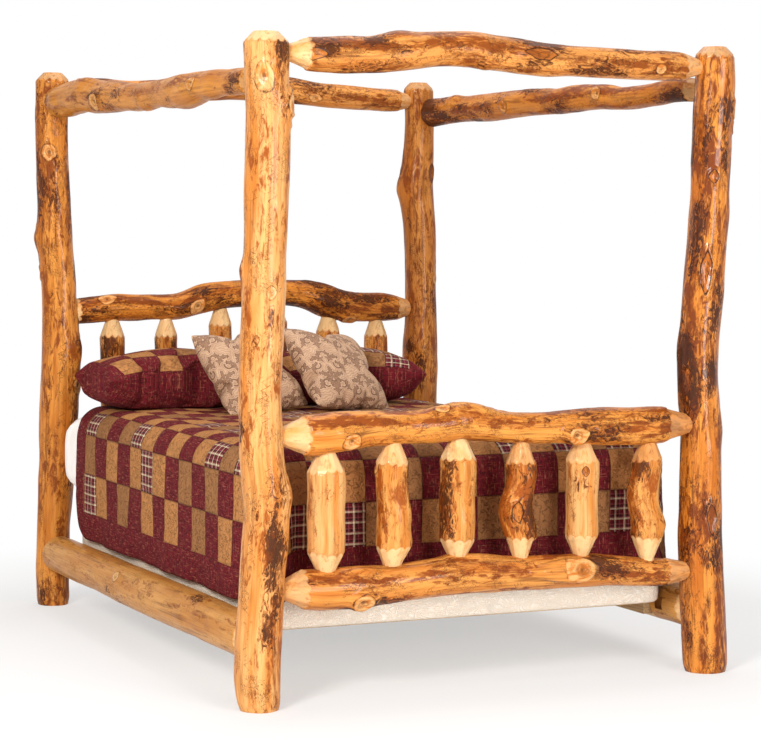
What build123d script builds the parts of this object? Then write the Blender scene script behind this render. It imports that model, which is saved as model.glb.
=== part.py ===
"""A queen-size four-post canopy bed of peeled logs, with its box spring, mattress, quilt and pillows.

Every log is lofted through round sections, so that it is as crooked as a grown tree. Its ends are hewn
to a cone and a round tenon, and the same cone and tenon, a little larger, are bored into the log or
post that receives them. Millimetres, +Z up, +X to the sleeper's left, +Y towards the head. The origin
is on the floor, midway between the four posts.
"""
import os
from math import cos, radians, sin

from build123d import *

os.makedirs("parts", exist_ok=True)

# ------------------------------------------------------------------------------------------------
# Driving dimensions
# ------------------------------------------------------------------------------------------------

# Post grid, measured between the posts' axes
post_spacing_x = 1676.0
post_spacing_y = 2280.0
post_height = 2172.0

# Posts: how much taller than post_height each one stands, and the hewn bevel round its top
foot_right_extra = 14.0
head_left_extra = 0.0
head_right_extra = 12.0
top_bevel_height = 30.0
top_bevel_width = 30.0
foot_bevel = 8.0

# Heights of the horizontal logs' tenons above the floor, or below post_height for the canopy
side_rail_height = 216.0
footboard_top_left_height = 882.0
footboard_top_right_height = 875.0
footboard_bottom_left_height = 386.0
footboard_bottom_right_height = 358.0
headboard_top_height = 1203.0
headboard_bottom_height = 560.0
canopy_foot_left_drop = 64.0
canopy_foot_right_drop = 58.0
canopy_head_drop = 70.0
canopy_left_foot_drop = 150.0
canopy_left_head_drop = 127.0
canopy_right_foot_drop = 130.0
canopy_right_head_drop = 124.0

# Hewn ends: tenon radii, and how far each tenon stops short of the receiving log's axis
tenon_radius = 25.0
side_rail_tenon_radius = 38.0
tenon_tip = 10.0
fit_clearance = 0.3
socket_extra_depth = 1.5
socket_runout = 20.0

# Spindles
spindle_cone_base = 120.0
spindle_cone_shoulder = 48.0
footboard_spindle_places = (-618.0, -380.0, -140.0, 101.0, 338.0, 598.0)
footboard_spindle_radii = (62.0, 54.0, 61.0, 50.0, 57.0, 53.0)
headboard_spindle_places = (-585.0, -348.0, -107.0, 139.0, 385.0, 613.0)
headboard_spindle_radii = (51.0, 50.0, 50.0, 51.0, 51.0, 50.0)

# Side rails, their planed inner flat, the ledgers and the slats
side_rail_radius = 75.0
side_rail_butt = 78.0
side_rail_shoulder = 34.0
rail_flat_distance = 57.0
ledger_width = 38.0
ledger_height = 38.0
ledger_end_gap = 250.0
ledger_screw_count = 6
slat_count = 5
slat_width = 140.0
slat_thickness = 19.0
slat_end_play = 3.0
slat_top_height = 225.0

# Side rail bolts: a hanger bolt in each post, drawn up by a nut in a pocket of the rail
bolt_radius = 5.0
bolt_depth_in_post = 45.0
bolt_thread_past_nut = 6.0
pocket_distance = 165.0
pocket_length = 44.0
pocket_height = 44.0
pocket_past_axis = 16.0
washer_radius = 14.0
washer_thickness = 2.5
nut_across_flats = 17.0
nut_height = 8.0

# Lag screws across the tenons, and the small countersunk wood screws
lag_radius = 3.5
lag_length = 84.0
lag_head_radius = 8.0
lag_head_height = 6.0
lag_head_depth = 50.0
lag_offset = 20.0
lag_drop = 10.0
lag_bore_radius = 9.5
lag_bore_reach = 60.0
screw_radius = 2.5
screw_length = 60.0
screw_head_radius = 5.0
screw_head_height = 3.5
slat_screw_length = 40.0
slat_screw_inset = 20.0

# Bedding
mattress_width = 1524.0
mattress_length = 2032.0
mattress_thickness = 355.0
mattress_edge_radius = 45.0
mattress_corner_radius = 70.0
box_spring_height = 228.0
box_spring_edge_radius = 16.0
box_spring_corner_radius = 55.0
bedding_shift = 20.0
soft_gap = 0.3
quilt_thickness = 14.0
quilt_side_gap = 16.0
quilt_side_hem_height = 290.0
quilt_foot_hem_height = 372.0
quilt_head_setback = 40.0
quilt_corner_radius = 60.0

# Pillows: flat sizes of the stuffed cushions, and how they lie
sham_length = 690.0
sham_depth = 440.0
sham_thickness = 236.0
sham_corner_radius = 40.0
sham_middle_gap = 14.0
sham_middle = -70.0
sham_head_gap = 14.0
throw_size = 380.0
throw_thickness = 130.0
throw_corner_radius = 30.0
# (angle from lying flat, roll about its face, turn about the upright)
throw_left_angles = (50.0, 5.0, 14.0)
throw_right_angles = (48.0, -8.0, 24.0)
# (place across from the shams' middle, overhang of the top past the shams' front, rise above the quilt)
throw_left_place = (-148.0, 31.13, 10.552)
throw_right_place = (218.0, 16.135, 15.7025)

# ------------------------------------------------------------------------------------------------
# Worked-out places
# ------------------------------------------------------------------------------------------------

half_x = post_spacing_x / 2
half_y = post_spacing_y / 2
foot_left = (-half_x, -half_y)
foot_right = (half_x, -half_y)
head_left = (-half_x, half_y)
head_right = (half_x, half_y)


def finish(part, name):
    """Label a finished piece and write it out."""
    part.label = name
    export_step(part, f"parts/{name}.step")


def disc(plane, radius, side=0.0, rise=0.0):
    """A round section on a plane."""
    with BuildSketch(plane) as section:
        with Locations((side, rise)):
            Circle(radius)
    return section.sketch


# ------------------------------------------------------------------------------------------------
# Logs: a run of stations between two ends, hewn to a cone and tenon at each end
# ------------------------------------------------------------------------------------------------


def slope(rows, index, column):
    """How fast a column of the stations changes at one of them."""
    low = rows[max(index - 1, 0)]
    high = rows[min(index + 1, len(rows) - 1)]
    return (high[column] - low[column]) / (high[0] - low[0])


def along_run(rows, share):
    """The (sideways, upwards, radius) of a run at a share of its length, smooth through its stations."""
    index = max(i for i, row in enumerate(rows[:-1]) if i == 0 or row[0] <= share)
    low, high = rows[index], rows[index + 1]
    width = high[0] - low[0]
    t = (share - low[0]) / width
    values = []
    for column in (1, 2, 3):
        start = low[column] * (1 + 2 * t) * (1 - t) ** 2 + high[column] * t**2 * (3 - 2 * t)
        bend = slope(rows, index, column) * t * (1 - t) ** 2 - slope(rows, index + 1, column) * t**2 * (1 - t)
        values.append(start + bend * width)
    return values


def run_sections(plane, length, rows):
    """Round sections at a run's stations and halfway between them."""
    shares = [rows[0][0]]
    for low, high in zip(rows, rows[1:]):
        shares += [(low[0] + high[0]) / 2, high[0]]
    sections = []
    for share in shares:
        side, rise, radius = along_run(rows, share)
        sections.append(disc(plane.offset(share * length), radius, side, rise))
    return sections


def dome(plane, place, log_radius, angle, foot_radius, stand_out):
    """A low dome on a round section's side; place is (sideways, upwards, along) on the plane."""
    ball = (foot_radius**2 + stand_out**2) / (2 * stand_out)
    reach = log_radius + stand_out - ball
    side, rise, along = place
    centre = Vector(side + reach * cos(radians(angle)), rise + reach * sin(radians(angle)), along)
    with Locations(plane.from_local_coords(centre)):
        Sphere(ball)


class Log:
    """A peeled log from start to end, both on the axes of the pieces that receive it.

    stations: (share of the length, offset sideways, offset upwards, radius), each a round section.
    ends: two of (cone base distance, cone base radius, shoulder distance), from the received axis.
    On an upright log the two offsets are along X and Y.
    """

    def __init__(self, start, end, stations, ends, tenon=tenon_radius):
        self.start = Vector(*start)
        self.end = Vector(*end)
        run = self.end - self.start
        self.length = run.length
        upright = abs(run.Z) > abs(run.X) + abs(run.Y)
        side = Vector(1, 0, 0) if upright else Vector(0, 0, 1).cross(run)
        self.plane = Plane(origin=self.start, x_dir=side, z_dir=run)
        self.ends = ends
        self.tenon = tenon
        first = (ends[0][0] / self.length, 0.0, 0.0, ends[0][1])
        last = (1 - ends[1][0] / self.length, 0.0, 0.0, ends[1][1])
        self.rows = [first, *stations, last]

    def end_plane(self, which):
        """The plane at end 0 or 1, on the receiving axis, looking into the log."""
        if which == 0:
            return self.plane
        return Plane(origin=self.end, x_dir=self.plane.x_dir, z_dir=self.start - self.end)

    def centre(self, share):
        """The log's middle at a share of its length."""
        side, rise, _ = along_run(self.rows, share)
        return self.plane.from_local_coords(Vector(side, rise, share * self.length))

    def knot(self, share, angle, foot_radius, stand_out):
        """A healed branch knot: a low dome on the log's side, at an angle round it."""
        side, rise, radius = along_run(self.rows, share)
        place = (side, rise, share * self.length)
        dome(self.plane, place, radius, angle, foot_radius, stand_out)

    def branch_stub(self, share, angle, foot_radius, stand_out):
        """A sawn branch stub that stands out of the log's side."""
        side, rise, radius = along_run(self.rows, share)
        outward = self.plane.x_dir * cos(radians(angle)) + self.plane.y_dir * sin(radians(angle))
        root = Plane(origin=self.plane.from_local_coords(Vector(side, rise, share * self.length)), z_dir=outward)
        loft([disc(root, foot_radius * 1.25), disc(root.offset(radius + stand_out), foot_radius)])

    def hewn_end(self, which, grow=0.0, mode=Mode.ADD):
        """The cone and tenon of one end, or with grow the socket that they fit."""
        base_distance, base_radius, shoulder = self.ends[which]
        plane = self.end_plane(which)
        tip = tenon_tip - (socket_extra_depth if grow else 0.0)
        root = base_distance + (socket_runout if grow else 0.0)
        outline = [(0, tip), (self.tenon + grow, tip), (self.tenon + grow, shoulder)]
        outline += [(base_radius + grow, base_distance), (base_radius + grow, root), (0, root)]
        if not grow:
            outline.pop(4)
        with BuildSketch(Plane(origin=plane.origin, x_dir=plane.x_dir, z_dir=-plane.y_dir)) as profile:
            with BuildLine():
                Polyline(*outline, close=True)
            make_face()
        revolve(profile.sketch, Axis(plane.origin, plane.z_dir), mode=mode)

    def whole(self):
        """The log with both hewn ends."""
        loft(run_sections(self.plane, self.length, self.rows), ruled=True)
        self.hewn_end(0)
        self.hewn_end(1)


def socket(log, which):
    """Bore the socket of one end of a log into the piece being made."""
    log.hewn_end(which, grow=fit_clearance, mode=Mode.SUBTRACT)


# ------------------------------------------------------------------------------------------------
# The runs of the logs. Each station is (share of length, sideways, upwards, radius).
# ------------------------------------------------------------------------------------------------

canopy_foot = Log(
    (*foot_left, post_height - canopy_foot_left_drop),
    (*foot_right, post_height - canopy_foot_right_drop),
    [
        (0.12, 0, 0, 55),
        (0.23, 6, 4, 55),
        (0.29, 8, 16, 58),
        (0.36, 8, 32, 54),
        (0.42, 6, 34, 54),
        (0.48, 2, 27, 55),
        (0.54, -2, 14, 54),
        (0.60, -6, 5, 51),
        (0.74, -6, -2, 51),
        (0.87, -2, 1, 50),
    ],
    [(145, 52, 75), (125, 48, 45)],
)
canopy_head = Log(
    (*head_left, post_height - canopy_head_drop),
    (*head_right, post_height - canopy_head_drop),
    [
        (0.12, 2, 0, 52),
        (0.23, 6, -4, 52),
        (0.31, 8, 12, 54),
        (0.39, 6, 35, 56),
        (0.50, 2, 41, 56),
        (0.60, -4, 34, 55),
        (0.66, -6, 23, 52),
        (0.72, -6, 10, 50),
        (0.88, -2, 0, 48),
    ],
    [(110, 50, 45), (125, 44, 50)],
)
canopy_left = Log(
    (*foot_left, post_height - canopy_left_foot_drop),
    (*head_left, post_height - canopy_left_head_drop),
    [
        (0.10, 2, -2, 43),
        (0.17, 4, 2, 47),
        (0.24, 4, -4, 51),
        (0.30, 2, -10, 55),
        (0.43, -4, -11, 51),
        (0.53, -6, -11, 53),
        (0.63, -4, -1, 56),
        (0.73, 2, 8, 60),
        (0.80, 6, 16, 62),
        (0.85, 6, 14, 65),
        (0.91, 2, 2, 66),
    ],
    [(120, 42, 50), (90, 61, 35)],
)
canopy_right = Log(
    (*foot_right, post_height - canopy_right_foot_drop),
    (*head_right, post_height - canopy_right_head_drop),
    [
        (0.11, -2, 2, 42),
        (0.18, -4, -4, 45),
        (0.26, -6, -7, 47),
        (0.33, -4, 7, 50),
        (0.41, 0, 5, 50),
        (0.49, 4, 1, 48),
        (0.58, 6, 5, 52),
        (0.71, 4, 5, 57),
        (0.80, 0, 6, 53),
        (0.90, -2, 6, 58),
    ],
    [(120, 42, 50), (90, 60, 35)],
)
headboard_top = Log(
    (*head_left, headboard_top_height),
    (*head_right, headboard_top_height),
    [
        (0.12, 0, 10, 52),
        (0.16, 2, 17, 53),
        (0.24, 4, 15, 52),
        (0.32, 6, 12, 54),
        (0.38, 6, 41, 64),
        (0.45, 4, 61, 60),
        (0.55, 0, 68, 58),
        (0.65, -4, 65, 59),
        (0.70, -6, 38, 71),
        (0.75, -6, 18, 71),
        (0.80, -4, 6, 64),
        (0.89, -2, 2, 61),
    ],
    [(98, 52, 40), (130, 55, 45)],
)
headboard_bottom = Log(
    (*head_left, headboard_bottom_height),
    (*head_right, headboard_bottom_height),
    [
        (0.15, 4, -4, 57),
        (0.35, 6, 4, 60),
        (0.55, 0, 8, 58),
        (0.75, -5, 2, 60),
        (0.87, -2, -2, 57),
    ],
    [(130, 54, 45), (130, 54, 45)],
)
footboard_top = Log(
    (*foot_left, footboard_top_left_height),
    (*foot_right, footboard_top_right_height),
    [
        (0.11, 0, -2, 64),
        (0.16, 2, 7, 62),
        (0.24, 4, 19, 55),
        (0.32, 4, 18, 55),
        (0.37, 2, 24, 60),
        (0.42, 0, 29, 64),
        (0.49, -2, 14, 58),
        (0.56, -4, 5, 55),
        (0.63, -4, 3, 56),
        (0.70, -2, 4, 62),
        (0.82, 0, 1, 60),
    ],
    [(140, 61, 48), (180, 60, 45)],
)
footboard_bottom = Log(
    (*foot_left, footboard_bottom_left_height),
    (*foot_right, footboard_bottom_right_height),
    [
        (0.13, 0, -6, 68),
        (0.20, 0, -3, 71),
        (0.28, -2, 5, 66),
        (0.36, -2, 17, 67),
        (0.45, 0, 26, 69),
        (0.51, 2, 23, 63),
        (0.57, 4, 20, 59),
        (0.70, 4, 18, 57),
        (0.76, 2, 15, 55),
        (0.83, 0, 4, 53),
    ],
    [(137, 65, 52), (165, 49, 45)],
)
side_rail_ends = [(side_rail_butt, side_rail_radius - 1, side_rail_shoulder)] * 2
side_rail_stations = [
    (0.22, 0, 2, side_rail_radius),
    (0.50, -2, -2, side_rail_radius + 1),
    (0.78, 0, 2, side_rail_radius),
]
left_rail = Log(
    (*foot_left, side_rail_height),
    (*head_left, side_rail_height),
    side_rail_stations,
    side_rail_ends,
    side_rail_tenon_radius,
)
right_rail = Log(
    (*foot_right, side_rail_height),
    (*head_right, side_rail_height),
    side_rail_stations,
    side_rail_ends,
    side_rail_tenon_radius,
)

# ------------------------------------------------------------------------------------------------
# Spindles: upright logs between a board's bottom and top logs
# ------------------------------------------------------------------------------------------------


def straight_spindle(radius, lean=2.0):
    """Stations of a nearly straight spindle."""
    return [(0.36, lean, 0, radius), (0.50, -lean, 1, radius - 1), (0.64, lean, 0, radius)]


def spindle_between(bottom, top, place, radius, stations):
    """A spindle that stands on the middles of two logs at a place across the bed."""
    share = (place + half_x) / post_spacing_x
    ends = [(spindle_cone_base, radius, spindle_cone_shoulder)] * 2
    low = bottom.centre(share)
    high = top.centre(share)
    return Log((place, low.Y, low.Z), (place, low.Y, high.Z), stations, ends)


footboard_spindle_runs = {
    2: [(0.34, 6, 0, 54), (0.45, 10, 2, 56), (0.56, 0, 0, 52), (0.66, -2, 0, 53)],
    4: [(0.34, -10, 2, 55), (0.44, -20, 4, 56), (0.56, -8, 0, 50), (0.66, 6, -2, 49)],
    6: [(0.34, 8, 0, 56), (0.44, -6, 2, 53), (0.54, -14, 2, 54), (0.66, -5, 0, 52)],
}
footboard_spindles = []
for number, (place, radius) in enumerate(zip(footboard_spindle_places, footboard_spindle_radii), 1):
    run = footboard_spindle_runs.get(number, straight_spindle(radius))
    footboard_spindles.append(spindle_between(footboard_bottom, footboard_top, place, radius, run))
headboard_spindles = []
for place, radius in zip(headboard_spindle_places, headboard_spindle_radii):
    run = straight_spindle(radius, 3.0)
    headboard_spindles.append(spindle_between(headboard_bottom, headboard_top, place, radius, run))

for number, spindle in enumerate(footboard_spindles, 1):
    with BuildPart() as footboard_spindle:
        spindle.whole()
    finish(footboard_spindle.part, f"footboard_spindle_{number}")

for number, spindle in enumerate(headboard_spindles, 1):
    with BuildPart() as headboard_spindle:
        spindle.whole()
    finish(headboard_spindle.part, f"headboard_spindle_{number}")

# ------------------------------------------------------------------------------------------------
# Lag screws: each locks one tenon, and is driven from the side that faces away from the room
# ------------------------------------------------------------------------------------------------


def lag_plane(log, which):
    """The plane of a lag screw's head seat, looking out of the post, for one end of a log."""
    end = log.end_plane(which)
    along = end.z_dir
    outward = Vector(0, 1, 0) if abs(along.X) > abs(along.Y) else Vector(1, 0, 0)
    seat = end.origin + along * lag_offset + outward * lag_head_depth - Vector(0, 0, lag_drop)
    return Plane(origin=seat, z_dir=outward)


def lag_bore(log, which):
    """The lag screw's hole and its counterbore, out through the post's skin."""
    plane = lag_plane(log, which)
    depth = lag_length + socket_extra_depth
    extrude(disc(plane.offset(-depth), lag_radius + fit_clearance), amount=depth, mode=Mode.SUBTRACT)
    extrude(disc(plane, lag_bore_radius), amount=lag_bore_reach, mode=Mode.SUBTRACT)


def lag_screws(logs):
    """The hex-head lag screws of a group of logs, one at each end."""
    for log in logs:
        for which in (0, 1):
            plane = lag_plane(log, which)
            extrude(disc(plane.offset(-lag_length), lag_radius), amount=lag_length)
            with BuildSketch(plane) as head:
                RegularPolygon(lag_head_radius, 6)
            extrude(head.sketch, amount=lag_head_height)


canopy_logs = [canopy_foot, canopy_head, canopy_left, canopy_right]
headboard_logs = [headboard_top, headboard_bottom]
footboard_logs = [footboard_top, footboard_bottom]

with BuildPart() as canopy_lag_screws:
    lag_screws(canopy_logs)
finish(canopy_lag_screws.part, "canopy_lag_screws")

with BuildPart() as headboard_lag_screws:
    lag_screws(headboard_logs)
finish(headboard_lag_screws.part, "headboard_lag_screws")

with BuildPart() as footboard_lag_screws:
    lag_screws(footboard_logs)
finish(footboard_lag_screws.part, "footboard_lag_screws")

# ------------------------------------------------------------------------------------------------
# Horizontal logs of the canopy, the headboard and the footboard
# ------------------------------------------------------------------------------------------------

with BuildPart() as canopy_rail_foot:
    canopy_foot.whole()
    lag_bore(canopy_foot, 0)
    lag_bore(canopy_foot, 1)
finish(canopy_rail_foot.part, "canopy_rail_foot")

with BuildPart() as canopy_rail_head:
    canopy_head.whole()
    lag_bore(canopy_head, 0)
    lag_bore(canopy_head, 1)
finish(canopy_rail_head.part, "canopy_rail_head")

with BuildPart() as canopy_rail_left:
    canopy_left.whole()
    canopy_left.knot(0.90, 10, 24, 9)
    lag_bore(canopy_left, 0)
    lag_bore(canopy_left, 1)
finish(canopy_rail_left.part, "canopy_rail_left")

with BuildPart() as canopy_rail_right:
    canopy_right.whole()
    canopy_right.knot(0.32, 20, 20, 7)
    lag_bore(canopy_right, 0)
    lag_bore(canopy_right, 1)
finish(canopy_rail_right.part, "canopy_rail_right")

with BuildPart() as headboard_top_log:
    headboard_top.whole()
    headboard_top.knot(0.37, 200, 24, 9)
    for spindle in headboard_spindles:
        socket(spindle, 1)
    lag_bore(headboard_top, 0)
    lag_bore(headboard_top, 1)
finish(headboard_top_log.part, "headboard_top_log")

with BuildPart() as headboard_bottom_log:
    headboard_bottom.whole()
    for spindle in headboard_spindles:
        socket(spindle, 0)
    lag_bore(headboard_bottom, 0)
    lag_bore(headboard_bottom, 1)
finish(headboard_bottom_log.part, "headboard_bottom_log")

with BuildPart() as footboard_top_log:
    footboard_top.whole()
    footboard_top.knot(0.70, 190, 26, 9)
    footboard_top.knot(0.16, 195, 20, 7)
    footboard_top.knot(0.42, 95, 26, 9)
    for spindle in footboard_spindles:
        socket(spindle, 1)
    lag_bore(footboard_top, 0)
    lag_bore(footboard_top, 1)
finish(footboard_top_log.part, "footboard_top_log")

with BuildPart() as footboard_bottom_log:
    footboard_bottom.whole()
    footboard_bottom.branch_stub(0.675, 172, 32, 16)
    footboard_bottom.knot(0.21, 120, 24, 9)
    footboard_bottom.knot(0.74, 110, 20, 9)
    for spindle in footboard_spindles:
        socket(spindle, 0)
    lag_bore(footboard_bottom, 0)
    lag_bore(footboard_bottom, 1)
finish(footboard_bottom_log.part, "footboard_bottom_log")

# ------------------------------------------------------------------------------------------------
# Side rails: planed flat inside for the ledger, and pocketed inside for the bolt's nut
# ------------------------------------------------------------------------------------------------

ledger_length = post_spacing_y - 2 * ledger_end_gap
ledger_top = slat_top_height - slat_thickness
ledger_outer_x = half_x - rail_flat_distance
ledger_middle_x = ledger_outer_x - ledger_width / 2
ledger_middle_z = ledger_top - ledger_height / 2
ledger_screw_pitch = ledger_length / ledger_screw_count
screw_bore_radius = screw_radius + fit_clearance


def planed_flat(inward):
    """Plane the rail's inner side flat along the ledger; inward is +1 or -1 along X."""
    depth = 2 * (side_rail_radius - rail_flat_distance)
    with Locations((-inward * (half_x - rail_flat_distance - depth / 2), 0, side_rail_height)):
        Box(depth, ledger_length, 2 * side_rail_radius, mode=Mode.SUBTRACT)


def nut_pockets(inward):
    """Cut the two nut pockets from the rail's inner side to a little past its middle."""
    reach = side_rail_radius + 2 * pocket_past_axis
    middle_x = inward * (reach / 2 - pocket_past_axis)
    for end in (-1, 1):
        pocket_y = end * (half_y - pocket_distance - pocket_length / 2)
        with Locations((-inward * half_x + middle_x, pocket_y, side_rail_height)):
            Box(reach, pocket_length, pocket_height, mode=Mode.SUBTRACT)


def bolt_bores(rail_x):
    """Bore the two bolt holes from the tenons' tips through to the nut pockets."""
    for end in (-1, 1):
        face = Plane(origin=(rail_x, end * half_y, side_rail_height), z_dir=(0, -end, 0))
        bore = disc(face, bolt_radius + fit_clearance)
        extrude(bore, amount=pocket_distance + pocket_length / 2, mode=Mode.SUBTRACT)


def screw_spots():
    """The Y places of the ledger's screws."""
    first = -(ledger_screw_count - 1) / 2
    return [(first + index) * ledger_screw_pitch for index in range(ledger_screw_count)]


def ledger_screw_planes(inward):
    """The planes of a ledger's screw heads, on its inner face, looking inwards."""
    face_x = -inward * (ledger_outer_x - ledger_width)
    return [
        Plane(origin=(face_x, spot, ledger_middle_z), z_dir=(inward, 0, 0)) for spot in screw_spots()
    ]


def screw_bore(plane, length):
    """A countersunk screw's hole below a face."""
    depth = length + fit_clearance
    extrude(disc(plane.offset(-depth), screw_bore_radius), amount=depth, mode=Mode.SUBTRACT)
    sink = disc(plane.offset(-screw_head_height), screw_bore_radius)
    loft([sink, disc(plane, screw_head_radius + fit_clearance)], mode=Mode.SUBTRACT)


def wood_screw(plane, length):
    """A countersunk wood screw, its head flush with a face."""
    extrude(disc(plane.offset(-length), screw_radius), amount=length - screw_head_height)
    loft([disc(plane.offset(-screw_head_height), screw_radius), disc(plane, screw_head_radius)])


with BuildPart() as side_rail_left:
    left_rail.whole()
    planed_flat(1)
    nut_pockets(1)
    bolt_bores(-half_x)
    for screw_plane in ledger_screw_planes(1):
        screw_bore(screw_plane, screw_length)
finish(side_rail_left.part, "side_rail_left")

with BuildPart() as side_rail_right:
    right_rail.whole()
    planed_flat(-1)
    nut_pockets(-1)
    bolt_bores(half_x)
    for screw_plane in ledger_screw_planes(-1):
        screw_bore(screw_plane, screw_length)
finish(side_rail_right.part, "side_rail_right")

# ------------------------------------------------------------------------------------------------
# Slat ledgers, slats and their screws
# ------------------------------------------------------------------------------------------------

slat_length = 2 * (ledger_outer_x - slat_end_play)
slat_pitch = (ledger_length - slat_width) / (slat_count - 1)
slat_spots = [(index - (slat_count - 1) / 2) * slat_pitch for index in range(slat_count)]


def slat_screw_plane(inward, spot):
    """The plane of a slat screw's head, over the middle of the ledger, looking up."""
    return Plane(origin=(-inward * ledger_middle_x, spot + slat_screw_inset, slat_top_height))


def ledger(inward):
    """A ledger with the holes of its own screws and of the slats' screws."""
    with Locations((-inward * ledger_middle_x, 0, ledger_middle_z)):
        Box(ledger_width, ledger_length, ledger_height)
    for screw_plane in ledger_screw_planes(inward):
        screw_bore(screw_plane, screw_length)
    for spot in slat_spots:
        screw_bore(slat_screw_plane(inward, spot), slat_screw_length)


with BuildPart() as slat_ledger_left:
    ledger(1)
finish(slat_ledger_left.part, "slat_ledger_left")

with BuildPart() as slat_ledger_right:
    ledger(-1)
finish(slat_ledger_right.part, "slat_ledger_right")

for number, spot in enumerate(slat_spots, 1):
    with BuildPart() as slat:
        with Locations((0, spot, slat_top_height - slat_thickness / 2)):
            Box(slat_length, slat_width, slat_thickness)
        for inward in (1, -1):
            screw_bore(slat_screw_plane(inward, spot), slat_screw_length)
    finish(slat.part, f"slat_{number}")

with BuildPart() as ledger_screws:
    for inward in (1, -1):
        for screw_plane in ledger_screw_planes(inward):
            wood_screw(screw_plane, screw_length)
finish(ledger_screws.part, "ledger_screws")

with BuildPart() as slat_screws:
    for spot in slat_spots:
        for inward in (1, -1):
            wood_screw(slat_screw_plane(inward, spot), slat_screw_length)
finish(slat_screws.part, "slat_screws")

# ------------------------------------------------------------------------------------------------
# Side rail bolts, washers and nuts
# ------------------------------------------------------------------------------------------------

bolt_reach = pocket_distance + washer_thickness + nut_height + bolt_thread_past_nut


def rail_bolt_planes():
    """A plane on each post's axis at the rails' height, looking along the rail."""
    return [
        Plane(origin=(x * half_x, y * half_y, side_rail_height), z_dir=(0, -y, 0))
        for x in (-1, 1)
        for y in (-1, 1)
    ]


with BuildPart() as side_rail_bolts:
    for bolt_plane in rail_bolt_planes():
        with BuildSketch(bolt_plane.offset(-bolt_depth_in_post)):
            Circle(bolt_radius)
        extrude(amount=bolt_depth_in_post + bolt_reach)
finish(side_rail_bolts.part, "side_rail_bolts")

with BuildPart() as side_rail_washers:
    for bolt_plane in rail_bolt_planes():
        with BuildSketch(bolt_plane.offset(pocket_distance)):
            Circle(washer_radius)
            Circle(bolt_radius + fit_clearance, mode=Mode.SUBTRACT)
        extrude(amount=washer_thickness)
finish(side_rail_washers.part, "side_rail_washers")

with BuildPart() as side_rail_nuts:
    for bolt_plane in rail_bolt_planes():
        with BuildSketch(bolt_plane.offset(pocket_distance + washer_thickness)):
            RegularPolygon(nut_across_flats / 2, 6, major_radius=False)
            Circle(bolt_radius + fit_clearance, mode=Mode.SUBTRACT)
        extrude(amount=nut_height)
finish(side_rail_nuts.part, "side_rail_nuts")

# ------------------------------------------------------------------------------------------------
# Posts. Each station is (share of the height, x, y, radius).
# ------------------------------------------------------------------------------------------------


def post_body(place, height, stations):
    """Loft a post through its stations and bevel its two ends."""
    base = Plane(origin=(*place, 0))
    first = (foot_bevel / height, *stations[0][1:])
    last = (1 - top_bevel_height / height, *stations[-1][1:])
    sections = run_sections(base, height, [first, *stations[1:-1], last])
    loft(sections, ruled=True)
    loft([disc(base, first[3] - foot_bevel, first[1], first[2]), sections[0]])
    loft([sections[-1], disc(base.offset(height), last[3] - top_bevel_width, last[1], last[2])])


def post_knot(place, along, side_x, side_y, radius, angle, foot_radius, stand_out):
    """A healed knot on a post at a height, where the post has an offset and a radius."""
    dome(Plane(origin=(*place, 0)), (side_x, side_y, along), radius, angle, foot_radius, stand_out)


def post_joints(sockets, rail, rail_end):
    """Bore the sockets and lag screw holes of a post, and the bore of its side rail's bolt."""
    for log, which in sockets:
        socket(log, which)
        lag_bore(log, which)
    socket(rail, rail_end)
    depth = bolt_depth_in_post + socket_extra_depth
    bore = disc(rail.end_plane(rail_end).offset(-depth), bolt_radius + fit_clearance)
    extrude(bore, amount=depth + tenon_tip, mode=Mode.SUBTRACT)


with BuildPart() as post_foot_left:
    post_body(
        foot_left,
        post_height,
        [
            (0.0, -10, 4, 74),
            (0.05, -16, 7, 79),
            (0.15, -8, 3, 73),
            (0.24, 4, -2, 75),
            (0.32, 9, -4, 75),
            (0.38, -4, 2, 72),
            (0.49, -9, 4, 70),
            (0.58, -2, 1, 74),
            (0.67, 3, -1, 69),
            (0.78, 9, -4, 71),
            (0.88, 12, -5, 71),
            (1.0, 4, -2, 71),
        ],
    )
    post_knot(foot_left, 1917, 12, -5, 71, -30, 22, 7)
    post_knot(foot_left, 1418, 2, -1, 70, 160, 26, 9)
    post_knot(foot_left, 692, 9, -4, 75, -22, 28, 9)
    post_joints(
        [(canopy_foot, 0), (canopy_left, 0), (footboard_top, 0), (footboard_bottom, 0)], left_rail, 0
    )
finish(post_foot_left.part, "post_foot_left")

with BuildPart() as post_foot_right:
    post_body(
        foot_right,
        post_height + foot_right_extra,
        [
            (0.0, 4, -2, 78),
            (0.08, -3, 1, 79),
            (0.20, -13, 6, 78),
            (0.28, -16, 7, 73),
            (0.38, -16, 7, 70),
            (0.49, -27, 13, 71),
            (0.55, -26, 12, 67),
            (0.62, -18, 8, 70),
            (0.70, -8, 4, 71),
            (0.78, -2, 1, 68),
            (0.87, 2, -1, 67),
            (0.94, 11, -5, 71),
            (1.0, 8, -4, 70),
        ],
    )
    post_joints(
        [(canopy_foot, 1), (canopy_right, 0), (footboard_top, 1), (footboard_bottom, 1)], right_rail, 0
    )
finish(post_foot_right.part, "post_foot_right")

with BuildPart() as post_head_left:
    post_body(
        head_left,
        post_height + head_left_extra,
        [
            (0.0, -2, 1, 70),
            (0.08, -8, 4, 66),
            (0.19, 1, 0, 69),
            (0.32, 16, -7, 75),
            (0.43, 24, -11, 78),
            (0.50, 25, -12, 76),
            (0.60, 20, -9, 71),
            (0.68, 7, -4, 72),
            (0.76, 5, -2, 68),
            (0.88, -3, 1, 66),
            (1.0, 0, 0, 67),
        ],
    )
    post_knot(head_left, 1500, 6, -3, 72, 155, 24, 10)
    post_knot(head_left, 1062, 25, -11, 76, -25, 30, 9)
    post_joints(
        [(canopy_head, 0), (canopy_left, 1), (headboard_top, 0), (headboard_bottom, 0)], left_rail, 1
    )
finish(post_head_left.part, "post_head_left")

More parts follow.
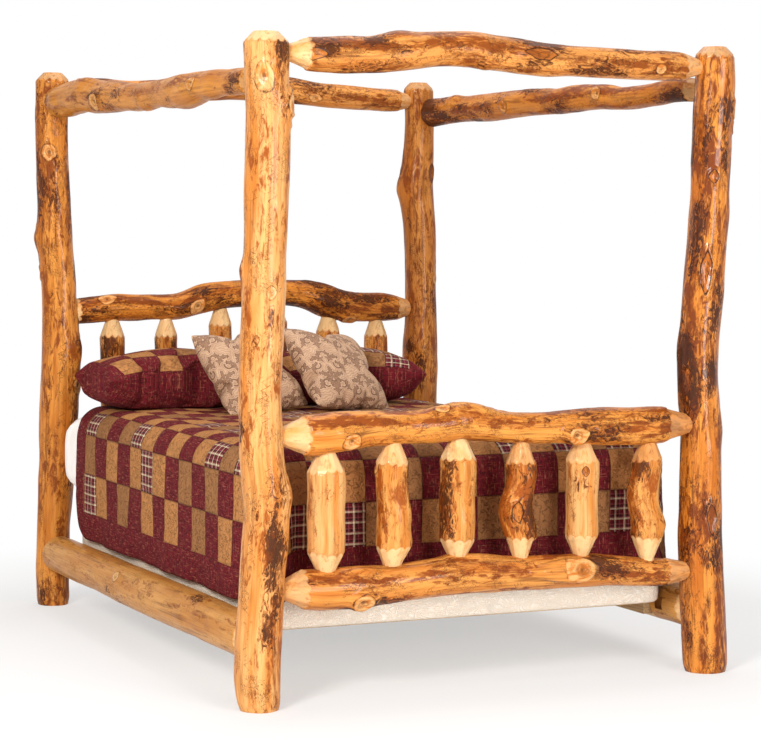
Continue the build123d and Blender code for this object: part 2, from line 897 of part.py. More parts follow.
with BuildPart() as post_head_right:
    post_body(
        head_right,
        post_height + head_right_extra,
        [
            (0.0, 5, -2, 74),
            (0.15, 0, 0, 72),
            (0.30, -4, 2, 71),
            (0.42, -6, 3, 76),
            (0.48, -6, 3, 78),
            (0.54, -5, 2, 71),
            (0.66, -10, 5, 68),
            (0.74, -18, 9, 71),
            (0.79, -24, 11, 74),
            (0.85, -17, 8, 67),
            (0.94, -17, 8, 67),
            (1.0, -21, 10, 67),
        ],
    )
    post_knot(head_right, 1722, -24, 11, 74, 150, 28, 9)
    post_joints(
        [(canopy_head, 1), (canopy_right, 1), (headboard_top, 1), (headboard_bottom, 1)], right_rail, 1
    )
finish(post_head_right.part, "post_head_right")

# ------------------------------------------------------------------------------------------------
# Box spring and mattress
# ------------------------------------------------------------------------------------------------

box_spring_base = slat_top_height + soft_gap
mattress_base = box_spring_base + box_spring_height + soft_gap
mattress_top = mattress_base + mattress_thickness


def padded_block(base_height, height, corner_radius, edge_radius):
    """A block of the mattress's plan with rounded corners and rounded upper and lower edges."""
    with BuildPart(mode=Mode.PRIVATE) as block:
        with BuildSketch(Plane.XY.offset(base_height)):
            with Locations((0, bedding_shift)):
                RectangleRounded(mattress_width, mattress_length, corner_radius)
        extrude(amount=height)
        fillet(block.faces().sort_by(Axis.Z)[-1].edges(), edge_radius)
        fillet(block.faces().sort_by(Axis.Z)[0].edges(), edge_radius)
    add(block.part)


with BuildPart() as box_spring:
    padded_block(box_spring_base, box_spring_height, box_spring_corner_radius, box_spring_edge_radius)
finish(box_spring.part, "box_spring")

with BuildPart() as mattress:
    padded_block(mattress_base, mattress_thickness, mattress_corner_radius, mattress_edge_radius)
finish(mattress.part, "mattress")

# ------------------------------------------------------------------------------------------------
# Quilt: a shell over the mattress that hangs down both sides and the foot, open at the head
# ------------------------------------------------------------------------------------------------

quilt_inner_half = mattress_width / 2 + quilt_side_gap
quilt_outer_half = quilt_inner_half + quilt_thickness
quilt_head_y = bedding_shift + mattress_length / 2 - quilt_head_setback
quilt_foot_inner_y = bedding_shift - mattress_length / 2 - quilt_side_gap
quilt_foot_outer_y = quilt_foot_inner_y - quilt_thickness
quilt_inner_top = mattress_top + soft_gap
quilt_top = quilt_inner_top + quilt_thickness


def draped_block(half_width, foot_y, top_z, edge_radius, mode):
    """A block open at the head, rounded at its two foot corners and along its draped top edges."""
    depth = quilt_head_y - foot_y
    with BuildPart(mode=Mode.PRIVATE) as block:
        with BuildSketch(Plane.XY.offset(quilt_side_hem_height)):
            with Locations((0, foot_y + depth / 2)):
                Rectangle(2 * half_width, depth)
        extrude(amount=top_z - quilt_side_hem_height)
        foot_corners = block.edges().filter_by(Axis.Z).group_by(Axis.Y)[0]
        fillet(foot_corners, edge_radius)
        draped = block.faces().sort_by(Axis.Z)[-1].edges()
        fillet(draped.sort_by(Axis.Y)[:-1], edge_radius)
    add(block.part, mode=mode)


with BuildPart() as quilt:
    draped_block(quilt_outer_half, quilt_foot_outer_y, quilt_top, quilt_corner_radius, Mode.ADD)
    inner_radius = quilt_corner_radius - quilt_thickness
    draped_block(quilt_inner_half, quilt_foot_inner_y, quilt_inner_top, inner_radius, Mode.SUBTRACT)
    with Locations((0, quilt_foot_outer_y, quilt_side_hem_height)):
        hem_lift = quilt_foot_hem_height - quilt_side_hem_height
        foot_reach = 2 * (quilt_outer_half - quilt_corner_radius)
        Box(foot_reach, 4 * quilt_thickness, 2 * hem_lift, mode=Mode.SUBTRACT)
finish(quilt.part, "quilt")

# ------------------------------------------------------------------------------------------------
# Pillows: stuffed cushions. The shams lie on the quilt against the headboard, and the throw pillows
# stand on the quilt and lean back on the shams.
# ------------------------------------------------------------------------------------------------

# (share of the thickness from the seam, share of the length and depth)
cushion_profile = ((-0.50, 0.55), (-0.25, 0.86), (0.0, 1.0), (0.25, 0.86), (0.50, 0.55))


def cushion(plane, length, depth, thickness, corner_radius):
    """A stuffed cushion about its seam, which lies on the plane."""
    sections = []
    for level, share in cushion_profile:
        with BuildSketch(plane.offset(level * thickness)) as section:
            RectangleRounded(share * length, share * depth, corner_radius)
        sections.append(section.sketch)
    loft(sections, ruled=True)


sham_back_y = half_y - max(headboard_spindle_radii) - sham_head_gap
sham_y = sham_back_y - sham_depth / 2
sham_z = quilt_top + soft_gap + sham_thickness / 2
sham_x = (sham_length + sham_middle_gap) / 2

with BuildPart() as pillow_sham_left:
    sham_plane = Plane(origin=(sham_middle - sham_x, sham_y, sham_z))
    cushion(sham_plane, sham_length, sham_depth, sham_thickness, sham_corner_radius)
finish(pillow_sham_left.part, "pillow_sham_left")

with BuildPart() as pillow_sham_right:
    sham_plane = Plane(origin=(sham_middle + sham_x, sham_y, sham_z))
    cushion(sham_plane, sham_length, sham_depth, sham_thickness, sham_corner_radius)
finish(pillow_sham_right.part, "pillow_sham_right")


def throw_plane(place, angles):
    """The plane of a throw pillow's seam, which leans back, rolls and turns."""
    across, overhang, rise = place
    lean, roll, turn = radians(angles[0]), radians(angles[1]), angles[2]
    sham_front_y = sham_back_y - sham_depth
    middle_y = sham_front_y + overhang - throw_size / 2 * cos(lean)
    middle_z = quilt_top + rise + throw_size / 2 * sin(lean)
    middle = (sham_middle + across, middle_y, middle_z)
    x_dir = Vector(cos(roll), sin(roll) * cos(lean), sin(roll) * sin(lean)).rotate(Axis.Z, turn)
    z_dir = Vector(0, -sin(lean), cos(lean)).rotate(Axis.Z, turn)
    return Plane(origin=middle, x_dir=x_dir, z_dir=z_dir)


with BuildPart() as throw_pillow_left:
    plane = throw_plane(throw_left_place, throw_left_angles)
    cushion(plane, throw_size, throw_size, throw_thickness, throw_corner_radius)
finish(throw_pillow_left.part, "throw_pillow_left")

with BuildPart() as throw_pillow_right:
    plane = throw_plane(throw_right_place, throw_right_angles)
    cushion(plane, throw_size, throw_size, throw_thickness, throw_corner_radius)
finish(throw_pillow_right.part, "throw_pillow_right")
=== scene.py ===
import math

import bpy
import numpy as np
from mathutils import Matrix, Vector
from mathutils.bvhtree import BVHTree


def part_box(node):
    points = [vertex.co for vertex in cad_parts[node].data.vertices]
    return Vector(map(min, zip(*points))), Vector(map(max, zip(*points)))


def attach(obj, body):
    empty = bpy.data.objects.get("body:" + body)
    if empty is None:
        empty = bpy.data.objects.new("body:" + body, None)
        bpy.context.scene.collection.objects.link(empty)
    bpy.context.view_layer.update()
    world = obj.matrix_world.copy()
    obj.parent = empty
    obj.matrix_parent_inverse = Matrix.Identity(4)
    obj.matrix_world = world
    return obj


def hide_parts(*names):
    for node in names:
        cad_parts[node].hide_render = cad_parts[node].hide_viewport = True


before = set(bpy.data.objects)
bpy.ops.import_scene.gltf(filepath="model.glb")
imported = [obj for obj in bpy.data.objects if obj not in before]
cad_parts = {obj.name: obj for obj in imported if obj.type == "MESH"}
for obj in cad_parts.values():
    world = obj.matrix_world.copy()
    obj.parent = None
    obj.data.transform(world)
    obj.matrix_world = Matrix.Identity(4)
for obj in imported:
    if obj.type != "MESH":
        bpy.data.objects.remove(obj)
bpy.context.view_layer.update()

# ------------------------------------------------------------------------------------------------
# Posts. Four peeled aspen trunks, each as crooked as it grew, under a glossy clear coat. The foot is
# sawn square, and the top is hewn to a bevel.


def soft_noise(points, scale, seed):
    """Soft noise from 0 to 1 at each point, with about one swing per 1/scale metres."""
    points = points * scale + seed * 7.31
    cell = np.floor(points).astype(np.int64)
    part = points - cell
    part = part * part * (3 - 2 * part)
    total = np.zeros(len(points))
    for corner in np.ndindex(2, 2, 2):
        x, y, z = (cell + corner).T
        mixed = (x * 73856093 ^ y * 19349663 ^ z * 83492791) * 1664525 + 1013904223
        mixed = (mixed ^ mixed >> 15) * 2246822519
        value = ((mixed ^ mixed >> 13) & 0xFFFF) / 0xFFFF
        near = np.where(corner, part, 1 - part)
        total += value * near.prod(axis=1)
    return total


def smooth_step(values, low, high):
    """0 below low, 1 above high, and smooth between them."""
    share = np.clip((values - low) / (high - low), 0, 1)
    return share * share * (3 - 2 * share)


def set_attribute(mesh, name, values):
    """Store a number, or a vector, at each vertex under a name that the materials read."""
    kind = "FLOAT_VECTOR" if values.ndim == 2 else "FLOAT"
    made = mesh.attributes.new(name, kind, "POINT")
    made.data.foreach_set("vector" if values.ndim == 2 else "value", values.astype(np.float32).ravel())


def new_object(name, data):
    """An object in the scene."""
    made = bpy.data.objects.new(name, data)
    bpy.context.scene.collection.objects.link(made)
    return made


def mesh_object(name, points, faces):
    """A mesh and its object in the scene."""
    mesh = bpy.data.meshes.new(name)
    mesh.from_pydata([tuple(p) for p in points], [], faces)
    return new_object(name, mesh)


def new_piece(name, points, faces, body="bed"):
    """A smooth-shaded mesh piece that rides on a body."""
    piece = mesh_object(name, points, faces)
    piece.data.update()
    piece.data.shade_smooth()
    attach(piece, body)
    return piece


def ring_faces(before, now, flip=False):
    """The faces between two closed rings of points."""
    faces = []
    for j in range(len(before)):
        k = (j + 1) % len(before)
        face = (before[j], before[k], now[k], now[j])
        faces.append(face[::-1] if flip else face)
    return faces


def closing_faces(rim, first, rings, flip):
    """The faces that close a rim with smaller rings, whose points are numbered from first on."""
    faces = []
    for ring in range(rings):
        now = range(first + ring * len(rim), first + (ring + 1) * len(rim))
        faces += ring_faces(rim, now, flip)
        rim = now
    faces.append(tuple(rim[::-1] if flip else rim))
    return faces


def fitted_circle(points):
    """The middle and radius of the round that most of the points lie on."""
    for _ in range(3):
        known = np.column_stack([2 * points, np.ones(len(points))])
        (u, v, rest), *_ = np.linalg.lstsq(known, (points**2).sum(axis=1), rcond=None)
        radius = math.sqrt(max(rest + u * u + v * v, 1e-9))
        off = abs(np.hypot(points[:, 0] - u, points[:, 1] - v) - radius)
        keep = off < max(0.04 * radius, np.quantile(off, 0.5))
        points = points[keep]
    return u, v, radius


def log_run(node, axis):
    """The places along a CAD log, and its middle and radius at each, from its low end to its high end."""
    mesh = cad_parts[node].data
    corners = [v.co for v in mesh.vertices]
    tree = BVHTree.FromPolygons(corners, [tuple(p.vertices) for p in mesh.polygons])
    low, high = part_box(node)
    across = [i for i in range(3) if i != axis]
    middle = [(low[i] + high[i]) / 2 for i in across]
    spacing, end_gap = 0.0125, 0.0004
    spokes, reach = 28, 0.35
    places = np.linspace(low[axis] + end_gap, high[axis] - end_gap, int((high[axis] - low[axis]) / spacing))
    rows = []
    for place in places:
        for _ in range(2):
            hits = []
            for spoke in range(spokes):
                angle = 2 * math.pi * spoke / spokes
                heading = Vector((0, 0, 0))
                heading[across[0]] = math.cos(angle)
                heading[across[1]] = math.sin(angle)
                start = Vector((0, 0, 0))
                start[axis] = place
                start[across[0]], start[across[1]] = middle
                hit = tree.ray_cast(start + heading * reach, -heading, reach)[0]
                if hit is not None:
                    hits.append((hit[across[0]], hit[across[1]]))
            u, v, radius = fitted_circle(np.array(hits))
            middle = [u, v]
        rows.append((u, v, radius))
    return places, np.array(rows), across


def eased(values, spread):
    """Values with their corners rounded off, the two ends kept where they are."""
    before = 2 * values[0] - values[spread:0:-1]
    after = 2 * values[-1] - values[-2:-spread - 2:-1]
    padded = np.concatenate([before, values, after])
    weights = np.hanning(2 * spread + 3)[1:-1]
    return np.convolve(padded, weights / weights.sum(), mode="valid")


no_knot = 3.0


def knot_forms(knots, s, angle, r, ragged):
    """How far knots lift a log's surface, and how near each place is to a knot and a scar; 1 is the rim."""
    lift = np.zeros(len(s))
    knot = np.full(len(s), no_knot)
    scar = np.full(len(s), no_knot)
    for place, bearing, half_length, half_width, height, kind in knots:
        gap = np.mod(angle - math.radians(bearing) + math.pi, 2 * math.pi) - math.pi
        along, across = (s - place) / half_length, gap * r / half_width
        distance = np.hypot(along, across) * ragged
        if kind == "burl":
            lift += height * np.exp(-1.3 * distance**2)
        elif kind == "stub":
            leaned = np.hypot(along * np.where(s < place, 0.35, 1.0), across)
            lift += height * (1 - smooth_step(leaned, 0.8, 1.15))
            knot = np.minimum(knot, np.where(s > place - half_length, distance * 0.8 + 0.1, no_knot))
        elif kind == "scar":
            lens = np.where(abs(gap) < 1.5, (abs(across) + along**2) * ragged, no_knot)
            lift += height * (np.exp(-6 * (lens - 1.15) ** 2) - 0.8 * (1 - smooth_step(lens, 0.5, 1.0)))
            scar = np.minimum(scar, lens)
        else:
            lift += height * (np.exp(-3.5 * (distance - 0.75) ** 2) - 0.35 * np.exp(-5 * distance**2))
            knot = np.minimum(knot, distance)
    return lift, knot, scar


def grow_log(
    node, axis, hewn_lengths, knots=(), seed=1, bark=0.5, lumps=1.0, facets=11, step=0.005, flat=None,
    fresh=(1, 1), finish=None,
):
    """A peeled log over a CAD log's run, with its grown lumps, its knots and its hewn ends.

    hewn_lengths: how much of the low and of the high end is hewn.
    knots: (place along the log, angle, half length, half width, height, kind).
    flat: the planed side as (angle, distance from the middle, lowest place, highest place).
    fresh: how pale the axe left the low and the high end.
    """
    places, run, across = log_run(node, axis)
    low, high = places[0], places[-1]
    first = int(np.searchsorted(places, low + hewn_lengths[0]))
    last = int(np.searchsorted(places, high - hewn_lengths[1]))
    for column in range(3):
        run[first:last, column] = eased(run[first:last, column], 3)
    along = np.unique(np.concatenate([
        np.arange(low, high, step), [low + hewn_lengths[0], high - hewn_lengths[1], high],
    ]))
    middle_u, middle_v, radius = (np.interp(along, places, run[:, column]) for column in range(3))
    around = int(round(2 * math.pi * np.median(radius) / step))
    angles = np.arange(around) * 2 * math.pi / around
    s, angle = (grid.ravel() for grid in np.meshgrid(along, angles, indexing="ij"))
    r = np.repeat(radius, around)
    unbent = np.column_stack([r * np.cos(angle), r * np.sin(angle), s])

    def noise(length, scale, number):
        return soft_noise(unbent * (1, 1, length), scale, seed + number)

    # Broad swellings, smaller lumps and fine ripples along the grain, and the thin bark that is left
    grown = (noise(0.4, 9, 0) - 0.5) * 0.011 + (noise(0.45, 24, 1) - 0.5) * 0.0055
    grown += (noise(0.12, 70, 2) - 0.5) * 0.0016
    barky = np.clip(0.6 * noise(0.35, 10, 3) + 0.4 * noise(0.4, 27, 4) + (bark - 0.5) * 0.6, 0, 1)
    grown = grown * lumps + smooth_step(barky, 0.58, 0.64) * 0.0009

    # The hewn ends: flat facets whose upper line is scalloped where each stroke of the axe began
    turn = 2 * math.pi / facets
    upper_end = s > (low + high) / 2
    cut = (np.mod(angle + seed + 0.6 * upper_end, turn) / turn - 0.5) * 2
    wander = (noise(0, 25, 5) - 0.5) * 0.016 + 0.010 * (0.5 - cut**2)
    hewn = smooth_step(low + hewn_lengths[0] + wander - s, -0.002, 0.003)
    if hewn_lengths[1] > 0:
        hewn = np.maximum(hewn, smooth_step(s - high + hewn_lengths[1] + wander, -0.002, 0.003))
    if hewn_lengths[0] == 0:
        hewn = np.where(upper_end, hewn, 0)
    chopped = -r * 0.045 * (1 - cut**2) + (noise(1, 38, 6) - 0.5) * 0.0018
    grown = grown * (1 - hewn) + chopped * hewn
    hewn = hewn * np.where(upper_end, fresh[1], fresh[0])

    lift, knot, scar = knot_forms(knots, s, angle, r, 1 + 0.5 * (noise(1, 42, 8) - 0.5))
    size = r + grown + lift
    if flat:
        bearing, distance, start, stop = flat
        facing = np.cos(angle - math.radians(bearing))
        planed = (facing > 0.3) & (s > start) & (s < stop)
        size = np.where(planed, np.minimum(size, distance / np.maximum(facing, 0.3)), size)
        hewn = np.where(planed & (size < r * 0.999), 1, hewn)
    points = np.zeros((len(s), 3))
    points[:, axis] = s
    points[:, across[0]] = np.repeat(middle_u, around) + size * np.cos(angle)
    points[:, across[1]] = np.repeat(middle_v, around) + size * np.sin(angle)

    count = len(along)
    flip = axis == 1
    faces = []
    numbers = [range(row * around, (row + 1) * around) for row in range(count)]
    for i in range(count - 1):
        faces += ring_faces(numbers[i], numbers[i + 1], flip)

    # Each end is closed by rings that shrink to its middle
    rings = 7
    extra, extra_unbent = [], []
    for row, outward in ((0, flip), (count - 1, not flip)):
        rim, rim_unbent = points[numbers[row]], unbent[numbers[row]]
        centre = rim.mean(axis=0)
        faces += closing_faces(numbers[row], len(points) + len(extra), rings, not outward)
        for ring in range(rings):
            share = 1 - (ring + 0.12) / rings
            extra += list(centre + (rim - centre) * share)
            extra_unbent += list(rim_unbent * (share, share, 1))
    added = len(extra)
    points = np.concatenate([points, np.array(extra)])

    piece = new_piece(node + "_log", points, faces)
    mesh = piece.data
    set_attribute(mesh, "unbent", np.concatenate([unbent, np.array(extra_unbent)]))
    for name, skin, end_value in (
        ("barky", barky, 0.3), ("hewn", hewn, 0), ("knot", knot, no_knot), ("scar", scar, no_knot),
        ("sawn", np.zeros(len(s)), 1),
    ):
        set_attribute(mesh, name, np.concatenate([skin, np.full(added, float(end_value))]))
    for row in (0, count - 1):
        rim = set(numbers[row])
        for edge in mesh.edges:
            if edge.vertices[0] in rim and edge.vertices[1] in rim:
                edge.use_edge_sharp = True
    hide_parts(node)
    if finish:
        mesh.materials.append(finish)
    return piece


def feed(tree, socket, value):
    """Link a socket, or set its value."""
    if isinstance(value, bpy.types.NodeSocket):
        tree.links.new(value, socket)
    elif value is not None:
        socket.default_value = value


def put(tree, kind, sockets, out=0, **settings):
    """Add a node with its settings, feed its named or numbered sockets, and give back one output."""
    made = tree.nodes.new(kind)
    for key, value in settings.items():
        setattr(made, key, value)
    for key, value in sockets.items():
        feed(tree, made.inputs[key], value)
    return made.outputs[out]


def calc(tree, operation, first, second=None, third=None):
    """One step of arithmetic."""
    return put(tree, "ShaderNodeMath", {0: first, 1: second, 2: third}, operation=operation)


def blend(tree, share, first, second, how="MIX"):
    """The second colour over the first, by a share."""
    sockets = {0: share, 6: first, 7: second}
    return put(tree, "ShaderNodeMix", sockets, out=2, data_type="RGBA", blend_type=how)


def band(tree, value, low, high):
    """0 below low, 1 above high, and smooth between them."""
    sockets = {"Value": value, "From Min": low, "From Max": high}
    return put(tree, "ShaderNodeMapRange", sockets, interpolation_type="SMOOTHSTEP")


def fading(tree, value, low, high):
    """1 below low, 0 above high, and smooth between them."""
    return calc(tree, "SUBTRACT", 1.0, band(tree, value, low, high))


def laid_over(tree, base, colour, mask, strength=1.0):
    """A colour laid over a base where a mask shows it."""
    return blend(tree, calc(tree, "MULTIPLY", mask, strength), base, colour)


def clouds(tree, where, scale, detail=3.0, rough=0.55, twist=0.0):
    """Cloudy noise about 0.5."""
    sockets = {"Vector": where, "Scale": scale, "Detail": detail, "Roughness": rough, "Distortion": twist}
    return put(tree, "ShaderNodeTexNoise", sockets)


def stretched(tree, where, factors, shift=(0, 0, 0)):
    """A place, scaled and shifted along its three axes."""
    sockets = {0: where, 1: factors, 2: shift}
    return put(tree, "ShaderNodeVectorMath", sockets, operation="MULTIPLY_ADD")


def object_place(tree):
    """The place in an object's own axes."""
    return tree.nodes.new("ShaderNodeTexCoord").outputs["Object"]


def along_axes(tree, vector):
    """A vector's x, y and z."""
    split = tree.nodes.new("ShaderNodeSeparateXYZ")
    feed(tree, split.inputs["Vector"], vector)
    return tuple(split.outputs)


def thin_lines(tree, value, width):
    """1 on the lines where a cloudy value passes its middle."""
    off_middle = calc(tree, "ABSOLUTE", calc(tree, "SUBTRACT", value, 0.5))
    return fading(tree, off_middle, 0.0, width)


def new_group(name, inputs, outputs):
    """A shader node group: its tree, what comes in and what goes out."""
    tree = bpy.data.node_groups.new(name, "ShaderNodeTree")
    for label, kind, default in inputs:
        socket = tree.interface.new_socket(label, in_out="INPUT", socket_type=kind)
        socket.default_value = default
    for label, kind in outputs:
        tree.interface.new_socket(label, in_out="OUTPUT", socket_type=kind)
    return tree, tree.nodes.new("NodeGroupInput").outputs, tree.nodes.new("NodeGroupOutput").inputs


def attribute(tree, name, out="Fac"):
    """What a piece stores at its vertices under a name."""
    return put(tree, "ShaderNodeAttribute", {}, out=out, attribute_name=name)


def place_group(tree, group, sockets):
    """Place a node group in a material and feed it."""
    made = tree.nodes.new("ShaderNodeGroup")
    made.node_tree = group
    for key, value in sockets.items():
        feed(tree, made.inputs[key], value)
    return made.outputs


def new_material(name):
    """A material with an empty tree, its Principled shader and a bump that feeds its normal."""
    material = bpy.data.materials.new(name)
    material.use_nodes = True
    tree = material.node_tree
    shader = tree.nodes["Principled BSDF"]
    bump = tree.nodes.new("ShaderNodeBump")
    tree.links.new(bump.outputs["Normal"], shader.inputs["Normal"])
    return material, tree, shader.inputs, bump.inputs


def give_look(tree, shader, bump, colour, rough, height, strength, distance, specular=None):
    """Feed a material's shader, and its bump with a height, a strength and a distance in metres."""
    feed(tree, shader["Base Color"], colour)
    feed(tree, shader["Roughness"], rough)
    feed(tree, shader["Specular IOR Level"], specular)
    feed(tree, bump["Height"], height)
    feed(tree, bump["Strength"], strength)
    feed(tree, bump["Distance"], distance)


float_in, vector_in, colour_in = "NodeSocketFloat", "NodeSocketVector", "NodeSocketColor"
blank = (1, 1, 1, 1)
aspen_group, given, result = new_group(
    "Peeled aspen",
    [
        ("Place", vector_in, (0, 0, 0)), ("Barky", float_in, 0.5), ("Hewn", float_in, 0),
        ("Knot", float_in, no_knot), ("Sawn", float_in, 0), ("Scar", float_in, no_knot),
        ("Sapwood", colour_in, blank), ("Honey", colour_in, blank), ("Amber", colour_in, blank),
        ("Bark", colour_in, blank), ("Fresh", colour_in, blank), ("Amber Share", float_in, 0.5),
        ("Bark Share", float_in, 0.5), ("Tracks", float_in, 0.5), ("Streaks", float_in, 0.5),
    ],
    [("Color", colour_in), ("Roughness", float_in), ("Height", float_in)],
)
tree = aspen_group
place = given["Place"]
sapwood, honey, amber, bark, fresh = (given[name] for name in ("Sapwood", "Honey", "Amber", "Bark", "Fresh"))


def grain_clouds(scale, length, detail=3.0, rough=0.55, twist=0.0, shift=(0, 0, 0)):
    """Cloudy noise in the log; with a length below 1 it is drawn out along the grain."""
    along = stretched(aspen_group, place, (1, 1, length), shift)
    return clouds(aspen_group, along, scale, detail, rough, twist)


# Sapwood with honey streaks, fine grain and clouds of amber stain
grain = grain_clouds(150, 0.03)
streak = grain_clouds(24, 0.09, 4, 0.6)
cloud = grain_clouds(15, 0.22, 5, 0.62, 0.7)
mottle = grain_clouds(50, 0.34, 6, 0.66, 1.1, (3, 3, 3))
wood = blend(tree, band(tree, streak, 0.36, 0.66), sapwood, honey)
wood = laid_over(tree, wood, amber, band(tree, grain, 0.45, 0.75), 0.45)
mixed = calc(tree, "MULTIPLY_ADD", cloud, 0.55, calc(tree, "MULTIPLY", mottle, 0.45))
stain_edge = calc(tree, "MULTIPLY_ADD", given["Amber Share"], -0.3, 0.66)
stained = band(tree, mixed, stain_edge, calc(tree, "ADD", stain_edge, 0.09))
wood = blend(tree, stained, wood, amber)
dark_streak = band(tree, grain_clouds(42, 0.06, 3, 0.6, 0.4, (5, 1, 0)), 0.56, 0.68)
dark_streak = calc(tree, "MULTIPLY", dark_streak, given["Streaks"])
wood = laid_over(tree, wood, blend(tree, 0.5, amber, bark), dark_streak, 0.75)

# What the peeling left of the bark, with an amber halo
fleck = grain_clouds(60, 0.42, 5, 0.7, 1.8, (0, 7, 2))
remnant = calc(tree, "MULTIPLY_ADD", given["Barky"], 0.5, calc(tree, "MULTIPLY", fleck, 0.5))
bark_edge = calc(tree, "MULTIPLY_ADD", given["Bark Share"], -0.25, 0.68)
barked = band(tree, remnant, bark_edge, calc(tree, "ADD", bark_edge, 0.035))
halo = band(tree, remnant, calc(tree, "SUBTRACT", bark_edge, 0.05), bark_edge)
wood = laid_over(tree, wood, amber, halo, 0.6)
bark_tone = blend(tree, band(tree, mottle, 0.42, 0.62), bark, blend(tree, 0.35, bark, amber))
wood = laid_over(tree, wood, bark_tone, barked, 0.9)

# Beetle tracks: galleries that zigzag along the grain, and loose scribbles
across_x, across_y, lengthwise = along_axes(tree, place)
wobble = clouds(tree, place, 30, 2)
zigzag = calc(tree, "PINGPONG", calc(tree, "MULTIPLY_ADD", wobble, 0.035, lengthwise), 0.013)
zigzag = calc(tree, "MULTIPLY_ADD", zigzag, 1.7, calc(tree, "MULTIPLY", wobble, 0.05))
gallery = calc(tree, "MULTIPLY_ADD", calc(tree, "ARCTAN2", across_y, across_x), 0.065, zigzag)
track = thin_lines(tree, calc(tree, "FRACT", calc(tree, "DIVIDE", gallery, 0.052)), 0.042)
track_place = band(tree, grain_clouds(24, 0.8, 3, shift=(8, 2, 6)), 0.5, 0.56)
track_zone = band(tree, grain_clouds(6, 0.5, 2, shift=(1, 4, 2)), 0.42, 0.52)
track = calc(tree, "MULTIPLY", track, calc(tree, "MULTIPLY", track_place, track_zone))
scribble = thin_lines(tree, grain_clouds(75, 0.8, 2, 0.6, 1.5, (6, 6, 1)), 0.03)
scribble_place = band(tree, grain_clouds(14, 0.6, 2, shift=(2, 5, 9)), 0.52, 0.58)
lines = calc(tree, "MAXIMUM", track, calc(tree, "MULTIPLY", scribble, scribble_place))
lines = calc(tree, "MULTIPLY", lines, given["Tracks"])
wood = laid_over(tree, wood, bark, lines, 0.9)

# Knots with growth rings, a dark core and rim, and scars healed over with rough wood
ripple = calc(tree, "MULTIPLY_ADD", given["Knot"], 11.0, calc(tree, "MULTIPLY", mottle, 7.0))
ripple = calc(tree, "SINE", ripple)
knot_wood = blend(tree, band(tree, mottle, 0.42, 0.62), blend(tree, 0.4, sapwood, fresh), honey)
knot_wood = laid_over(tree, knot_wood, amber, band(tree, ripple, 0.3, 1.0), 0.45)
knot_wood = laid_over(tree, knot_wood, bark, fading(tree, given["Knot"], 0.12, 0.32), 0.65)
wood = blend(tree, fading(tree, given["Knot"], 0.85, 1.0), wood, knot_wood)
knot_rim = thin_lines(tree, calc(tree, "MULTIPLY_ADD", given["Knot"], 0.5, -0.02), 0.05)
wood = laid_over(tree, wood, bark, calc(tree, "MULTIPLY", knot_rim, 0.9), band(tree, fleck, 0.35, 0.6))
healed = blend(tree, band(tree, streak, 0.36, 0.6), honey, amber)
healed = laid_over(tree, healed, bark, band(tree, fleck, 0.5, 0.62), 0.6)
wood = blend(tree, fading(tree, given["Scar"], 0.8, 0.95), wood, healed)
scar_rim = thin_lines(tree, calc(tree, "MULTIPLY_ADD", given["Scar"], 0.5, 0.02), 0.09)
wood = blend(tree, scar_rim, wood, bark)

# Ends that the axe left fresh, or stained under the coat, and the sawn end grain with its years
axed = blend(tree, band(tree, streak, 0.4, 0.8), fresh, sapwood)
axed = laid_over(tree, axed, honey, band(tree, mottle, 0.55, 0.66), 0.6)
axed = laid_over(tree, axed, amber, band(tree, dark_streak, 0.2, 0.8), 0.35)
axed = blend(tree, given["Hewn"], blend(tree, stained, honey, amber), axed)
wood = blend(tree, band(tree, given["Hewn"], 0.0, 0.3), wood, axed)
squares = [calc(tree, "MULTIPLY", across, across) for across in (across_x, across_y)]
from_heart = calc(tree, "SQRT", calc(tree, "ADD", *squares))
years = calc(tree, "MULTIPLY_ADD", from_heart, 1500.0, calc(tree, "MULTIPLY", cloud, 14.0))
sawn_wood = laid_over(tree, fresh, honey, band(tree, calc(tree, "SINE", years), 0.2, 1.0), 0.5)
sawn_wood = laid_over(tree, sawn_wood, amber, band(tree, mottle, 0.55, 0.7), 0.6)
feed(tree, result["Color"], blend(tree, given["Sawn"], wood, sawn_wood))

rough = calc(tree, "MULTIPLY_ADD", mottle, 0.25, 0.22)
feed(tree, result["Roughness"], calc(tree, "MULTIPLY_ADD", barked, 0.12, rough))
height = calc(tree, "MULTIPLY_ADD", barked, 0.5, calc(tree, "MULTIPLY", mottle, 0.5))
height = calc(tree, "MULTIPLY_ADD", lines, -0.5, height)
height = calc(tree, "MULTIPLY_ADD", grain, 0.12, height)
rims = calc(tree, "MAXIMUM", knot_rim, scar_rim)
feed(tree, result["Height"], calc(tree, "MULTIPLY_ADD", rims, -0.4, height))

fresh_wood = (0.80, 0.52, 0.25, 1)
cream_sapwood = (0.76, 0.40, 0.14, 1)
honey_wood = (0.62, 0.22, 0.04, 1)
amber_stain = (0.32, 0.075, 0.010, 1)
bark_brown = (0.040, 0.011, 0.005, 1)


def peeled_aspen(
    name, stain_share, bark_share, tracks=0.7, streaks=0.5, gloss=0.18,
    sapwood=cream_sapwood, mid=honey_wood, stain=amber_stain, dark=bark_brown,
):
    """Peeled aspen under clear coat, with its share of stain, bark and beetle tracks."""
    material, tree, shader, bump = new_material(name)
    out = place_group(tree, aspen_group, {
        "Place": attribute(tree, "unbent", "Vector"),
        **{stored.title(): attribute(tree, stored) for stored in ("barky", "hewn", "knot", "sawn", "scar")},
        "Sapwood": sapwood, "Honey": mid, "Amber": stain, "Bark": dark, "Fresh": fresh_wood,
        "Amber Share": stain_share, "Bark Share": bark_share, "Tracks": tracks, "Streaks": streaks,
    })
    give_look(tree, shader, bump, out["Color"], out["Roughness"], out["Height"], 0.7, 0.003, 0.06)
    shader["Coat Weight"].default_value = gloss
    shader["Coat Roughness"].default_value = 0.12
    return material


